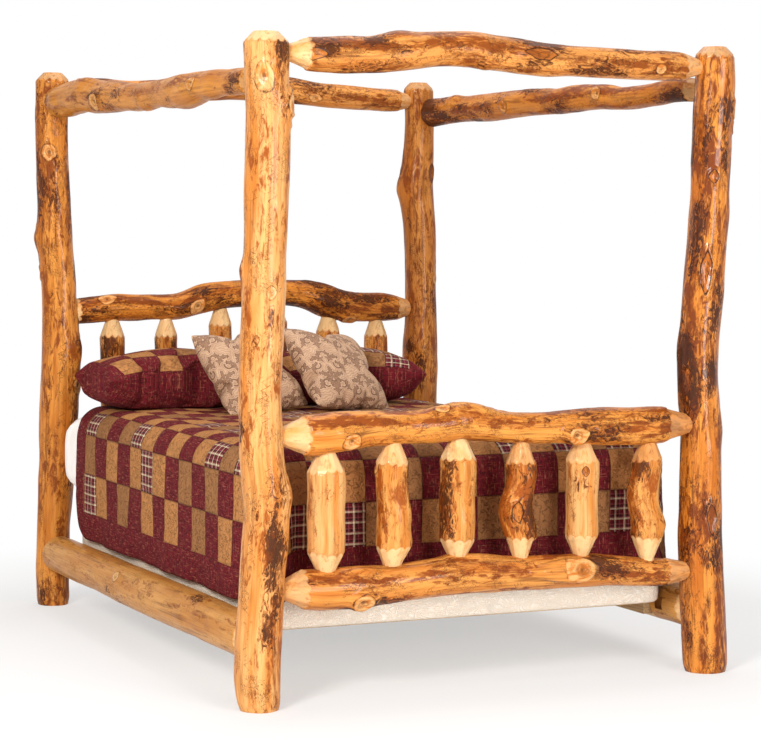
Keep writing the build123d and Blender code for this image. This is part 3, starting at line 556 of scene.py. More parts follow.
post_bevel = 0.030
grow_log(
    "post_foot_left", 2, (0, post_bevel), seed=3, bark=0.42, facets=14,
    knots=[
        (2.027, -120, 0.050, 0.032, 0.004, "ring"),
        (1.937, -34, 0.040, 0.032, 0.012, "ring"),
        (1.418, 160, 0.040, 0.035, 0.012, "burl"),
        (1.345, -92, 0.020, 0.016, 0.003, "ring"),
        (0.700, -25, 0.055, 0.040, 0.012, "burl"),
        (1.620, -60, 0.030, 0.028, 0.005, "burl"),
    ],
    finish=peeled_aspen("Aspen, pale with fine tracks", 0.48, 0.36, tracks=0.9, streaks=0.6),
)

grow_log(
    "post_foot_right", 2, (0, post_bevel), seed=11, bark=0.55, facets=14, fresh=(1, 0.5),
    knots=[
        (1.905, -36, 0.020, 0.014, 0.004, "scar"),
        (1.965, -36, 0.030, 0.018, 0.006, "ring"),
        (1.735, -110, 0.026, 0.018, 0.004, "scar"),
        (1.405, -116, 0.078, 0.019, 0.004, "scar"),
        (0.545, -92, 0.058, 0.018, 0.004, "scar"),
        (1.150, 150, 0.060, 0.040, 0.006, "burl"),
        (0.860, -35, 0.060, 0.040, 0.006, "burl"),
    ],
    finish=peeled_aspen(
        "Aspen, red-brown and streaked", 0.60, 0.56, tracks=0.8, streaks=1.0, gloss=0.35,
        sapwood=(0.72, 0.27, 0.045, 1), mid=(0.50, 0.14, 0.014, 1), stain=(0.19, 0.040, 0.006, 1),
        dark=(0.025, 0.007, 0.004, 1),
    ),
)

grow_log(
    "post_head_left", 2, (0, post_bevel), seed=23, bark=0.48, facets=14, fresh=(1, 0.5),
    knots=[
        (1.850, -118, 0.034, 0.030, 0.008, "ring"),
        (1.500, 158, 0.055, 0.040, 0.014, "burl"),
        (1.035, -32, 0.080, 0.045, 0.012, "burl"),
        (0.905, -40, 0.040, 0.034, 0.008, "ring"),
        (1.360, 165, 0.026, 0.020, 0.004, "scar"),
    ],
    finish=peeled_aspen(
        "Aspen, orange with dark streaks", 0.55, 0.48, tracks=1.0, streaks=0.9,
        sapwood=(0.72, 0.29, 0.055, 1), mid=(0.50, 0.15, 0.018, 1), stain=(0.25, 0.06, 0.009, 1),
    ),
)

grow_log(
    "post_head_right", 2, (0, post_bevel), seed=31, bark=0.40, facets=14, fresh=(1, 0.4),
    knots=[
        (1.722, 152, 0.060, 0.045, 0.012, "burl"),
        (1.790, -55, 0.045, 0.024, 0.005, "scar"),
        (1.330, -50, 0.024, 0.022, 0.004, "ring"),
        (1.020, -110, 0.060, 0.050, 0.006, "burl"),
    ],
    finish=peeled_aspen(
        "Aspen, honey", 0.55, 0.48, tracks=0.8, streaks=0.9, gloss=0.15,
        sapwood=(0.58, 0.23, 0.048, 1), mid=(0.44, 0.135, 0.018, 1), stain=(0.22, 0.05, 0.007, 1),
    ),
)

# ------------------------------------------------------------------------------------------------
# Canopy rails. Four crooked logs that tie the posts' tops, each hewn to a cone whose round tenon is
# locked in its post by a lag screw.

mottled_aspen = peeled_aspen(
    "Aspen, amber with bark flecks", 0.58, 0.50, tracks=1.0, streaks=0.8, gloss=0.12,
    sapwood=(0.74, 0.32, 0.08, 1), mid=(0.55, 0.18, 0.030, 1), stain=(0.25, 0.06, 0.009, 1),
)
grow_log(
    "canopy_rail_foot", 0, (0.135, 0.115), seed=41, bark=0.50, lumps=1.2, fresh=(1, 0.6),
    knots=[
        (-0.38, 95, 0.080, 0.040, 0.010, "burl"),
        (0.13, 165, 0.070, 0.018, 0.004, "scar"),
        (-0.05, 240, 0.050, 0.034, 0.008, "burl"),
        (-0.70, 185, 0.060, 0.022, 0.003, "scar"),
        (0.60, 200, 0.020, 0.016, 0.003, "ring"),
    ],
    finish=mottled_aspen,
)

grow_log(
    "canopy_rail_head", 0, (0.100, 0.115), seed=43, bark=0.48, lumps=1.2, fresh=(0.6, 0.6),
    knots=[(-0.10, 90, 0.06, 0.04, 0.008, "burl"), (0.30, 200, 0.03, 0.02, 0.004, "ring")],
    finish=mottled_aspen,
)

grow_log(
    "canopy_rail_left", 1, (0.110, 0.080), seed=47, bark=0.44, lumps=1.5, fresh=(0.4, 0.3),
    knots=[
        (0.92, 175, 0.055, 0.045, 0.010, "burl"),
        (0.62, 120, 0.090, 0.050, 0.012, "burl"),
        (0.42, 200, 0.040, 0.030, 0.008, "ring"),
        (-0.62, 165, 0.032, 0.024, 0.005, "ring"),
        (-0.05, 230, 0.060, 0.045, 0.009, "burl"),
    ],
    finish=peeled_aspen(
        "Aspen, brown honey", 0.42, 0.34, tracks=0.8, streaks=0.5, gloss=0.03,
        sapwood=(0.66, 0.27, 0.045, 1), mid=(0.50, 0.17, 0.020, 1), stain=(0.26, 0.062, 0.007, 1),
    ),
)

grow_log(
    "canopy_rail_right", 1, (0.110, 0.080), seed=53, bark=0.52, lumps=1.3, fresh=(0.6, 0.4),
    knots=[
        (-0.42, 165, 0.034, 0.026, 0.008, "ring"),
        (0.28, 190, 0.030, 0.024, 0.007, "ring"),
        (0.78, 130, 0.06, 0.04, 0.010, "burl"),
    ],
    finish=peeled_aspen(
        "Aspen, dark amber with much bark", 0.55, 0.52, tracks=1.0, streaks=0.7, gloss=0.03,
        sapwood=(0.66, 0.25, 0.040, 1), mid=(0.50, 0.15, 0.017, 1), stain=(0.24, 0.052, 0.007, 1),
    ),
)

# ------------------------------------------------------------------------------------------------
# Headboard. A crooked top log, a bottom log hidden by the bedding, and six spindles between them
# whose hewn cones end in glued round tenons.

grow_log(
    "headboard_top_log", 0, (0.088, 0.120), seed=61, bark=0.62, lumps=1.3, fresh=(1, 0.5),
    knots=[
        (-0.62, 135, 0.036, 0.024, 0.006, "ring"),
        (-0.23, 190, 0.034, 0.030, 0.008, "ring"),
        (0.47, 235, 0.034, 0.030, 0.010, "ring"),
        (0.36, 110, 0.09, 0.05, 0.010, "burl"),
    ],
    finish=peeled_aspen(
        "Aspen, dark and speckled with bark", 0.55, 0.58, tracks=0.9, streaks=0.8, gloss=0.06,
        sapwood=(0.70, 0.26, 0.042, 1), mid=(0.50, 0.145, 0.016, 1), stain=(0.21, 0.048, 0.007, 1),
    ),
)
grow_log("headboard_bottom_log", 0, (0.120, 0.120), seed=67, finish=mottled_aspen)

spindle_hewn = (0.110, 0.110)
for number in range(1, 7):
    node = f"headboard_spindle_{number}"
    grow_log(node, 2, spindle_hewn, seed=70 + number, bark=0.52, finish=mottled_aspen)

# ------------------------------------------------------------------------------------------------
# Footboard. Two crooked logs and six spindles, joined as the headboard is. Two of the spindles are
# crooked too.

grow_log(
    "footboard_top_log", 0, (0.130, 0.170), seed=81, bark=0.44, lumps=1.2, fresh=(0.9, 0.3),
    knots=[
        (-0.55, 205, 0.034, 0.028, 0.013, "ring"),
        (-0.10, 110, 0.110, 0.050, 0.016, "burl"),
        (-0.21, 122, 0.028, 0.020, 0.005, "ring"),
        (0.285, 205, 0.036, 0.034, 0.016, "ring"),
        (0.37, 200, 0.030, 0.040, 0.006, "burl"),
    ],
    finish=peeled_aspen(
        "Aspen, golden with amber streaks", 0.57, 0.47, tracks=0.9, streaks=1.0, gloss=0.2,
        sapwood=(0.72, 0.31, 0.062, 1), mid=(0.58, 0.175, 0.022, 1), stain=(0.26, 0.058, 0.007, 1),
    ),
)

grow_log(
    "footboard_bottom_log", 0, (0.127, 0.155), seed=83, bark=0.46, lumps=1.2, fresh=(0.6, 0.4),
    knots=[
        (0.300, 172, 0.060, 0.040, 0.020, "stub"),
        (0.390, 150, 0.050, 0.030, 0.010, "burl"),
        (-0.510, 215, 0.040, 0.030, 0.016, "ring"),
        (-0.500, 120, 0.060, 0.030, 0.010, "burl"),
        (-0.150, 95, 0.060, 0.030, 0.008, "burl"),
        (0.555, 172, 0.012, 0.012, -0.002, "scar"),
    ],
    finish=peeled_aspen(
        "Aspen, golden with brown tracks", 0.57, 0.48, tracks=1.0, streaks=0.9, gloss=0.2,
        sapwood=(0.70, 0.30, 0.068, 1), mid=(0.55, 0.17, 0.024, 1), stain=(0.25, 0.055, 0.008, 1),
    ),
)

pale_spindle = peeled_aspen("Aspen, cream", 0.36, 0.32, streaks=0.7, sapwood=(0.72, 0.40, 0.15, 1))
golden_spindle = peeled_aspen(
    "Aspen, golden and rough", 0.56, 0.40, tracks=0.9, streaks=0.7,
    sapwood=(0.70, 0.33, 0.09, 1), mid=(0.56, 0.19, 0.030, 1),
)
rough_spindle = peeled_aspen(
    "Aspen, rough with brown scars", 0.65, 0.56, tracks=1.0, streaks=0.3, sapwood=(0.64, 0.27, 0.06, 1),
)
spindle_2_knots = [(0.52, -35, 0.045, 0.030, 0.010, "burl"), (0.77, 160, 0.025, 0.024, 0.005, "ring")]
spindle_4_knots = [(0.60, -110, 0.040, 0.018, 0.005, "scar"), (0.72, -90, 0.03, 0.02, 0.006, "burl")]
spindle_5_knots = [(0.73, -105, 0.020, 0.014, 0.003, "scar")]
spindle_6_knots = [(0.53, -30, 0.045, 0.030, 0.010, "burl")]
for number, finish, lumps, bark, knots, fresh in (
    (1, pale_spindle, 0.6, 0.35, [], (1, 1)),
    (2, golden_spindle, 1.2, 0.48, spindle_2_knots, (1, 0.8)),
    (3, golden_spindle, 1.0, 0.52, [], (1, 1)),
    (4, rough_spindle, 2.2, 0.60, spindle_4_knots, (0.9, 0.5)),
    (5, pale_spindle, 0.8, 0.40, spindle_5_knots, (0.9, 0.7)),
    (6, golden_spindle, 1.8, 0.46, spindle_6_knots, (1, 0.3)),
):
    grow_log(
        f"footboard_spindle_{number}", 2, spindle_hewn, knots, 90 + number, bark, lumps, step=0.004,
        fresh=fresh, finish=finish,
    )

# ------------------------------------------------------------------------------------------------
# Side rails. Two thick straight logs, planed flat inside for the ledgers, and pocketed inside for the
# nuts of the bolts that draw them to the posts.

tan_aspen = peeled_aspen(
    "Aspen, smooth and tan", 0.42, 0.26, tracks=0.6, streaks=0.7, gloss=0.06,
    sapwood=(0.64, 0.31, 0.08, 1), mid=(0.50, 0.20, 0.038, 1), stain=(0.30, 0.09, 0.014, 1),
)
rail_x, rail_z = 0.838, 0.216
rail_butt = (0.068, 0.068)
flat_distance, flat_reach = 0.057, 0.890
pocket_middle, pocket_size = 0.953, 0.044
pocket_start, pocket_stop = -0.016, 0.091


def apply_modifiers(piece):
    """Make the shape that a piece's modifiers give its own mesh."""
    bpy.context.view_layer.update()
    whole = bpy.data.meshes.new_from_object(piece.evaluated_get(bpy.context.evaluated_depsgraph_get()))
    piece.modifiers.clear()
    piece.data = whole
    whole.shade_smooth()


def cut_pocket(rail, low, high):
    """Cut a square pocket out of a rail, between two corners."""
    corners = [(x, y, z) for x in (low[0], high[0]) for y in (low[1], high[1]) for z in (low[2], high[2])]
    sides = [(0, 1, 3, 2), (4, 6, 7, 5), (0, 4, 5, 1), (2, 3, 7, 6), (0, 2, 6, 4), (1, 5, 7, 3)]
    cutter = mesh_object("pocket", corners, sides)
    cut = rail.modifiers.new("pocket", "BOOLEAN")
    cut.object = cutter
    cut.solver = "EXACT"
    apply_modifiers(rail)
    bpy.data.objects.remove(cutter)


for side, across, inward, knots in (
    ("left", 1, 0, [(0.15, 150, 0.03, 0.02, 0.003, "ring"), (-0.55, 190, 0.05, 0.04, 0.003, "burl")]),
    ("right", -1, 180, []),
):
    rail = grow_log(
        "side_rail_" + side, 1, rail_butt, knots, 101 + inward, 0.36, 0.5,
        flat=(inward, flat_distance, -flat_reach, flat_reach), finish=tan_aspen,
    )
    reaches = sorted(across * (reach - rail_x) for reach in (pocket_start, pocket_stop))
    half = pocket_size / 2
    for middle in (-pocket_middle, pocket_middle):
        cut_pocket(
            rail, (reaches[0], middle - half, rail_z - half), (reaches[1], middle + half, rail_z + half),
        )
    rail.data.set_sharp_from_angle(angle=math.radians(35))

# ------------------------------------------------------------------------------------------------
# Ledgers and slats. Planed softwood strips screwed to the side rails' flats, and the slats laid across
# them that carry the box spring.


def planed_softwood(name, grain_factors):
    """Bare planed softwood with its grain along one axis."""
    material, tree, shader, bump = new_material(name)
    where = object_place(tree)
    fine = clouds(tree, stretched(tree, where, grain_factors), 130, 4)
    broad = clouds(tree, stretched(tree, where, grain_factors), 28, 3, 0.5, 1.2)
    years = calc(tree, "SINE", calc(tree, "MULTIPLY", broad, 60.0))
    wood = blend(tree, band(tree, years, 0.1, 1.0), (0.60, 0.41, 0.22, 1), (0.45, 0.27, 0.12, 1))
    wood = laid_over(tree, wood, (0.36, 0.21, 0.09, 1), band(tree, fine, 0.5, 0.8), 0.4)
    give_look(tree, shader, bump, wood, calc(tree, "MULTIPLY_ADD", fine, 0.2, 0.55), fine, 0.25, 0.001)
    return material


def dress(node, material, edge=0.0):
    """Give a CAD node its finish, and break its edges a little."""
    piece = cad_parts[node]
    piece.data.materials.clear()
    piece.data.materials.append(material)
    if edge:
        bevel = piece.modifiers.new("broken edges", "BEVEL")
        bevel.width = edge
        bevel.segments = 2
        bevel.limit_method = "ANGLE"
        bevel.angle_limit = math.radians(60)


ledger_wood = planed_softwood("Planed softwood, ledgers", (1, 0.05, 1))
slat_wood = planed_softwood("Planed softwood, slats", (0.05, 1, 1))
broken_edge = 0.0015
for side in ("left", "right"):
    dress("slat_ledger_" + side, ledger_wood, broken_edge)
for number in range(1, 6):
    dress(f"slat_{number}", slat_wood, broken_edge)

# ------------------------------------------------------------------------------------------------
# Fasteners. Zinc-plated steel: hanger bolts with washers and nuts for the side rails, lag screws
# through the posts into the tenons, and wood screws for the ledgers and slats.

zinc, tree, shader, bump = new_material("Zinc-plated steel")
where = object_place(tree)
spangle = clouds(tree, where, 260, 3)
scratch = clouds(tree, stretched(tree, where, (1, 0.1, 1)), 900, 2)
steel = blend(tree, band(tree, spangle, 0.35, 0.65), (0.42, 0.43, 0.45, 1), (0.62, 0.62, 0.60, 1))
rough = calc(tree, "MULTIPLY_ADD", spangle, 0.3, 0.22)
give_look(tree, shader, bump, steel, rough, scratch, 0.15, 0.0004)
shader["Metallic"].default_value = 1.0
for node in (
    "ledger_screws", "slat_screws", "side_rail_bolts", "side_rail_washers", "side_rail_nuts",
    "canopy_lag_screws", "headboard_lag_screws", "footboard_lag_screws",
):
    dress(node, zinc)

# ------------------------------------------------------------------------------------------------
# Box spring and mattress. A cream ticking cover quilted in swirls over the box spring, and a plain
# white cotton sheet pulled over the thick mattress, which bulges where the quilt doesn't hold it.


def block_rim(half_x, half_y, corner, spacing):
    """The rim of a block with rounded corners: x and y, and the way outward, at each point."""
    rim = []
    straight_x, straight_y = half_x - corner, half_y - corner
    arc = int(math.ceil(corner * math.pi / 2 / spacing))
    signs = ((1, 1), (-1, 1), (-1, -1), (1, -1))
    for quarter, (side_x, side_y) in enumerate(signs):
        next_x, next_y = signs[(quarter + 1) % 4]
        steps = int((abs(next_x - side_x) * straight_x + abs(next_y - side_y) * straight_y) / spacing)
        bends = [((quarter + index / arc) * math.pi / 2, 0) for index in range(arc)]
        bends += [((quarter + 1) * math.pi / 2, index / steps) for index in range(steps)]
        for turn, share in bends:
            x = (side_x + (next_x - side_x) * share) * straight_x + corner * math.cos(turn)
            y = (side_y + (next_y - side_y) * share) * straight_y + corner * math.sin(turn)
            rim.append((x, y, math.cos(turn), math.sin(turn)))
    return np.array(rim)


def padded_block(name, node, corner, edge, spacing, swell):
    """A stuffed block over a CAD block, with rounded corners and edges.

    swell: how far the sides bulge at a level, from -1 at the bottom to 1 at the top.
    """
    low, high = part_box(node)
    centre = (low + high) / 2
    half_x, half_y, half_z = (high - low) / 2
    rim = block_rim(half_x, half_y, corner, spacing)
    count = len(rim)

    # Each level's inset from the side and its height
    bends = [(index / 6) * math.pi / 2 for index in range(7)]
    straight = 2 * half_z - 2 * edge
    rows = int(straight / spacing)
    levels = [(edge * (1 - math.sin(bend)), -half_z + edge - edge * math.cos(bend)) for bend in bends]
    levels += [(0.0, -half_z + edge + straight * index / rows) for index in range(1, rows)]
    levels += [(edge * (1 - math.cos(bend)), half_z - edge + edge * math.sin(bend)) for bend in bends]
    points = []
    for inset, z in levels:
        ring = rim[:, :2] + rim[:, 2:] * (swell(z / half_z) - inset)
        points.append(np.column_stack([ring + (centre.x, centre.y), np.full(count, z + centre.z)]))
    faces = []
    numbers = [range(row * count, (row + 1) * count) for row in range(len(levels))]
    for i in range(len(levels) - 1):
        faces += ring_faces(numbers[i], numbers[i + 1])

    # The bottom and the top are closed by rings that shrink to their middle
    shares = (0.985, 0.93, 0.8, 0.6, 0.4, 0.2)
    for row, upward in ((0, False), (len(levels) - 1, True)):
        faces += closing_faces(numbers[row], len(points) * count, len(shares), not upward)
        middle = points[row].mean(axis=0)
        points += [middle + (points[row] - middle) * share for share in shares]
    piece = new_piece(name, np.concatenate(points), faces)
    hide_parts(node)
    return piece


def box_spring_swell(level):
    """Nearly straight sides that pull in a little at the welts."""
    return 0.002 - 0.004 * level**4


spring = padded_block("box_spring_cover", "box_spring", 0.055, 0.016, 0.02, box_spring_swell)
ticking, tree, shader, bump = new_material("Cream quilted ticking")
where = object_place(tree)
swirl_field = clouds(tree, stretched(tree, where, (1, 1, 1.4)), 11, 1.5, 0.5, 2.6)
swirl = calc(tree, "SINE", calc(tree, "MULTIPLY", swirl_field, 62.0))
weave = clouds(tree, where, 900, 2)
# Painted light and shade: the ticking is lighter on the quilted swirls' crests and darker in their hollows,
# following the same swirl that raises the bump
cloth = blend(tree, band(tree, swirl, -0.6, 1.0), (0.92, 0.80, 0.66, 1), (0.96, 0.89, 0.78, 1))
cloth = laid_over(tree, cloth, (0.76, 0.66, 0.53, 1), band(tree, weave, 0.5, 0.8), 0.3)
height = calc(tree, "MULTIPLY_ADD", weave, 0.15, swirl)
give_look(tree, shader, bump, cloth, 0.8, height, 0.5, 0.004, 0.2)
spring.data.materials.append(ticking)


def mattress_swell(level):
    """Sides that bulge a little."""
    return 0.006 * (1 - level**2)


mattress = padded_block("mattress_in_sheet", "mattress", 0.060, 0.085, 0.012, mattress_swell)

# It bulges more at its head end, where the quilt doesn't hold it
bulge = 0.072
bare_from, bare_over = 0.982, 0.03
outer_from, outer_over = 0.55, 0.20
low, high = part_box("mattress")
for vertex in mattress.data.vertices:
    bare = min(max((vertex.co.y - bare_from) / bare_over, 0), 1)
    outer = min(max((abs(vertex.co.x) - outer_from) / outer_over, 0), 1)
    level = (2 * vertex.co.z - low.z - high.z) / (high.z - low.z)
    vertex.co.x += math.copysign(bulge, vertex.co.x) * bare * outer * max(1 - level**4, 0)
mattress.data.update()
sheet_cloth, tree, shader, bump = new_material("White cotton sheet")
where = object_place(tree)
crease = clouds(tree, stretched(tree, where, (1, 1, 0.5)), 9, 3, 0.5, 0.8)
weave = clouds(tree, where, 1200, 2)
# Painted shade: the sheet is darker in the low parts of its creases, where the same noise sinks its bump
cloth = blend(tree, band(tree, crease, 0.3, 0.7), (0.86, 0.83, 0.79, 1), (0.90, 0.89, 0.87, 1))
height = calc(tree, "MULTIPLY_ADD", weave, 0.05, crease)
give_look(tree, shader, bump, cloth, 0.85, height, 0.4, 0.01, 0.2)
mattress.data.materials.append(sheet_cloth)

# ------------------------------------------------------------------------------------------------
# Quilt. Two layers of cotton with a thin wadding, pieced from burgundy, tan and plaid patches inside a
# burgundy border, quilted all over in a meander, and hung over the mattress's sides and foot.

quilt_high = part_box("quilt")[1]
mattress_low, mattress_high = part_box("mattress")
core_inset = 0.090
core_x = mattress_high.x - core_inset
core_foot = mattress_low.y + core_inset
core_head = quilt_high.y
core_length = core_head - core_foot
bend_radius = 0.112
bend_length = bend_radius * math.pi / 2
quilt_top = quilt_high.z
side_hem, foot_hem = 0.300, 0.372
side_reach = bend_length + quilt_top - side_hem - bend_radius
foot_reach = bend_length + quilt_top - foot_hem - bend_radius
corner_dip, corner_turns = 0.045, 36
head_corner = 0.150
cell = 0.010
side_steps = int(core_length / cell)
foot_steps = int(2 * core_x / cell)


def quilt_strip():
    """The core's rim from the left head corner round the foot to the right head corner.

    Each row: the rim's x and y, the outward x and y, how far the cloth reaches beyond it, and how far
    round a corner it is, from 0 to 1, or -1 where it is straight.
    """
    rows = []
    for index in range(side_steps):
        y = core_head - core_length * index / side_steps
        rise = head_corner - min(core_head - y, head_corner)
        reach = side_reach - head_corner + math.sqrt(head_corner**2 - rise**2)
        rows.append((-core_x, y, -1, 0, reach, -1))
    for index in range(corner_turns + 1):
        share = index / corner_turns
        turn = share * math.pi / 2
        reach = side_reach + (foot_reach - side_reach) * share + corner_dip * math.sin(2 * turn)
        rows.append((-core_x, core_foot, -math.cos(turn), -math.sin(turn), reach, share))
    for index in range(1, foot_steps):
        rows.append((-core_x + 2 * core_x * index / foot_steps, core_foot, 0, -1, foot_reach, -1))
    return rows


half_strip = quilt_strip()
mirrored = [(-x, y, -ox, oy, reach, turn) for x, y, ox, oy, reach, turn in half_strip if ox != 0][::-1]
strip = np.array(half_strip + mirrored)
skirt_rows = int(side_reach / cell)

# The skirt: it bends over the mattress's edge and hangs in soft folds that gather at the corners
rim_place, outward, full_reach, corner_share = strip[:, :2], strip[:, 2:4], strip[:, 4], strip[:, 5]
at_corner = np.where(corner_share >= 0, np.sin(np.clip(corner_share, 0, 1) * 3 * math.pi) ** 2, 0)
run_along = np.concatenate([[0], np.cumsum(np.maximum(np.hypot(*np.diff(rim_place, axis=0).T), 0.008))])
waves = np.sin(run_along * 13 + 1.3 * np.sin(run_along * 3.1)) * 0.006 + np.sin(run_along * 29 + 2) * 0.0025
skirt_points, skirt_flat = [], []
for row in range(skirt_rows + 1):
    reach = full_reach * row / skirt_rows
    bend = np.minimum(reach, bend_length) / bend_radius
    hung = np.maximum(reach - bend_length, 0)
    fall = hung / (side_reach - bend_length)
    out = bend_radius * np.sin(bend) + fall**1.3 * (waves + 0.006) + fall * at_corner * 0.016
    drop = bend_radius * (1 - np.cos(bend)) + hung
    skirt_points.append(np.column_stack([rim_place + outward * out[:, None], quilt_top - drop]))
    skirt_flat.append(rim_place + outward * reach[:, None])
columns = len(strip)
quilt_faces = []
for i in range(skirt_rows):
    for j in range(columns - 1):
        a = i * columns + j
        quilt_faces.append((a, a + columns, a + columns + 1, a + 1))

# The top: a flat grid that meets the skirt's first row
top_x = np.linspace(-core_x, core_x, foot_steps + 1)
top_y = core_head - core_length * np.arange(side_steps + 1) / side_steps
grid_x, grid_y = (grid.ravel() for grid in np.meshgrid(top_x, top_y, indexing="ij"))
base = (skirt_rows + 1) * columns
top_points = np.column_stack([grid_x, grid_y, np.full(len(grid_x), quilt_top)])
quilt_points = np.concatenate([*skirt_points, top_points])
quilt_flat = np.concatenate([*skirt_flat, np.column_stack([grid_x, grid_y])])
for i in range(foot_steps):
    for j in range(side_steps):
        a = base + i * (side_steps + 1) + j
        quilt_faces.append((a, a + 1, a + side_steps + 2, a + side_steps + 1))

# Patches: the outer two columns at each side and the outer two rows at the foot are larger
side_border, foot_border, head_border = 0.105, 0.120, 0.110
flat_half = core_x + side_reach
flat_foot = core_foot - foot_reach
outer_width, outer_height = 0.158, 0.148
inner_columns, inner_rows = 16, 14
inner_half = flat_half - side_border - 2 * outer_width
column_edges = np.concatenate([
    [-flat_half, -flat_half + side_border, -flat_half + side_border + outer_width],
    np.linspace(-inner_half, inner_half, inner_columns + 1),
    [inner_half + outer_width, flat_half - side_border, flat_half],
])
column_numbers = np.arange(len(column_edges)) - 1.0
rows_end = flat_foot + foot_border + 2 * outer_height
row_edges = np.concatenate([
    [flat_foot - 0.1, flat_foot + foot_border, flat_foot + foot_border + outer_height],
    np.linspace(rows_end, core_head - head_border, inner_rows + 1),
    [core_head],
])
row_numbers = np.arange(len(row_edges)) - 1.0
patch_x = np.interp(quilt_flat[:, 0], column_edges, column_numbers)
patch_y = np.interp(quilt_flat[:, 1], row_edges, row_numbers)
in_columns = (patch_x >= 0) & (patch_x <= column_numbers[-2])
in_rows = (patch_y >= 0) & (patch_y <= row_numbers[-2])
border = 1.0 - (in_columns & in_rows)

# Wadding swells between the seams, and the top sinks and rises a little where the mattress gives
patch_width, patch_length = 0.12, 0.14
from_seam = np.minimum(
    abs(patch_x - np.round(patch_x)) * patch_width, abs(patch_y - np.round(patch_y)) * patch_length,
)
from_seam = np.where(border > 0, 0.05, from_seam)
flat_3d = np.column_stack([quilt_flat, np.zeros(len(quilt_flat))])
puff = 0.0022 * smooth_step(from_seam, 0.0, 0.02) + (soft_noise(flat_3d, 26, 5) - 0.5) * 0.004
puff += (soft_noise(flat_3d, 6, 9) - 0.5) * 0.008
normals = np.zeros_like(quilt_points)
a, b, c, d = np.array(quilt_faces).T
face_normals = np.cross(quilt_points[c] - quilt_points[a], quilt_points[d] - quilt_points[b])
for corner in (a, b, c, d):
    np.add.at(normals, corner, face_normals)
normals /= np.maximum(np.linalg.norm(normals, axis=1), 1e-9)[:, None]
if normals[base:, 2].mean() < 0:
    normals = -normals
    quilt_faces = [face[::-1] for face in quilt_faces]
quilt_points = quilt_points + normals * (puff - 0.002)[:, None]

quilt = new_piece("quilt_cloth", quilt_points, quilt_faces)
set_attribute(quilt.data, "patch", np.column_stack([patch_x, patch_y, border]))
set_attribute(quilt.data, "cloth", flat_3d)
weld = quilt.modifiers.new("seams", "WELD")
weld.merge_threshold = 0.0006
thick = quilt.modifiers.new("wadding", "SOLIDIFY")
thick.thickness = 0.009
thick.offset = -1.0
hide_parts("quilt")

patchwork_group, given, result = new_group(
    "Patchwork",
    [
        ("Patch", vector_in, (0, 0, 0)), ("Cloth", vector_in, (0, 0, 0)), ("Burgundy", colour_in, blank),
        ("Slub", colour_in, blank), ("Plum", colour_in, blank), ("Tan", colour_in, blank),
        ("Brown", colour_in, blank), ("Cream", colour_in, blank), ("Black", colour_in, blank),
        ("Draw", float_in, 0.0),
    ],
    [("Color", colour_in), ("Height", float_in)],
)
tree = patchwork_group
burgundy, slub, plum, tan, brown, cream, black = (
    given[name] for name in ("Burgundy", "Slub", "Plum", "Tan", "Brown", "Cream", "Black")
)
column, row, edge_cloth = along_axes(tree, given["Patch"])
whole_column = calc(tree, "FLOOR", column)
whole_row = calc(tree, "FLOOR", row)
corner = put(tree, "ShaderNodeCombineXYZ", {0: whole_column, 1: whole_row, 2: given["Draw"]})
draw = put(tree, "ShaderNodeTexWhiteNoise", {"Vector": corner}, noise_dimensions="3D")
odd = calc(tree, "FLOORED_MODULO", calc(tree, "ADD", whole_column, whole_row), 2.0)
cloth_place = stretched(tree, given["Cloth"], (1, 1, 0))
cloth_x, cloth_y, _ = along_axes(tree, cloth_place)


def thread_clouds(run, shift=(0, 0, 0)):
    """Noise drawn out along the threads that run one way of the cloth."""
    return clouds(patchwork_group, stretched(patchwork_group, cloth_place, run, shift), 210, 3, 0.65)


def yarns(tree, along, pitch=0.036):
    """The colour of a plaid's yarns: a cream and a black line in a plum ground, once to a pitch."""
    share = calc(tree, "FRACT", calc(tree, "DIVIDE", along, pitch))
    colour = blend(tree, calc(tree, "GREATER_THAN", share, 0.66), plum, burgundy)
    for stop, yarn in ((0.52, black), (0.34, plum), (0.22, cream), (0.04, black)):
        colour = blend(tree, calc(tree, "LESS_THAN", share, stop), colour, yarn)
    return colour


# The cloths: tan or brown with crackled dye, burgundy with slubs, and plaid
speck = clouds(tree, cloth_place, 420, 2, 0.6)
crackle = clouds(tree, cloth_place, 130, 4, 0.7, 1.2)
light_cloth = blend(tree, calc(tree, "GREATER_THAN", draw, 0.62), tan, brown)
light_cloth = laid_over(tree, light_cloth, brown, band(tree, crackle, 0.48, 0.60), 0.45)
light_cloth = laid_over(tree, light_cloth, black, band(tree, speck, 0.56, 0.70), 0.25)
along_threads, cross_threads = (1, 0.12, 1), (0.12, 1, 1)
dark_warp, slub_weft = thread_clouds(cross_threads), thread_clouds(along_threads)
slub_warp = thread_clouds(cross_threads, (3, 1, 0))
red_cloth = laid_over(tree, burgundy, black, band(tree, dark_warp, 0.52, 0.66), 0.55)
red_cloth = laid_over(tree, red_cloth, slub, band(tree, slub_weft, 0.54, 0.66), 0.55)
red_cloth = laid_over(tree, red_cloth, slub, band(tree, slub_warp, 0.57, 0.68), 0.5)
plaid = blend(tree, 0.5, yarns(tree, cloth_x), yarns(tree, cloth_y))
dark_cloth = blend(tree, calc(tree, "GREATER_THAN", draw, 0.60), red_cloth, plaid)
pieced = blend(tree, odd, light_cloth, dark_cloth)
pieced = blend(tree, calc(tree, "GREATER_THAN", edge_cloth, 0.5), pieced, red_cloth)
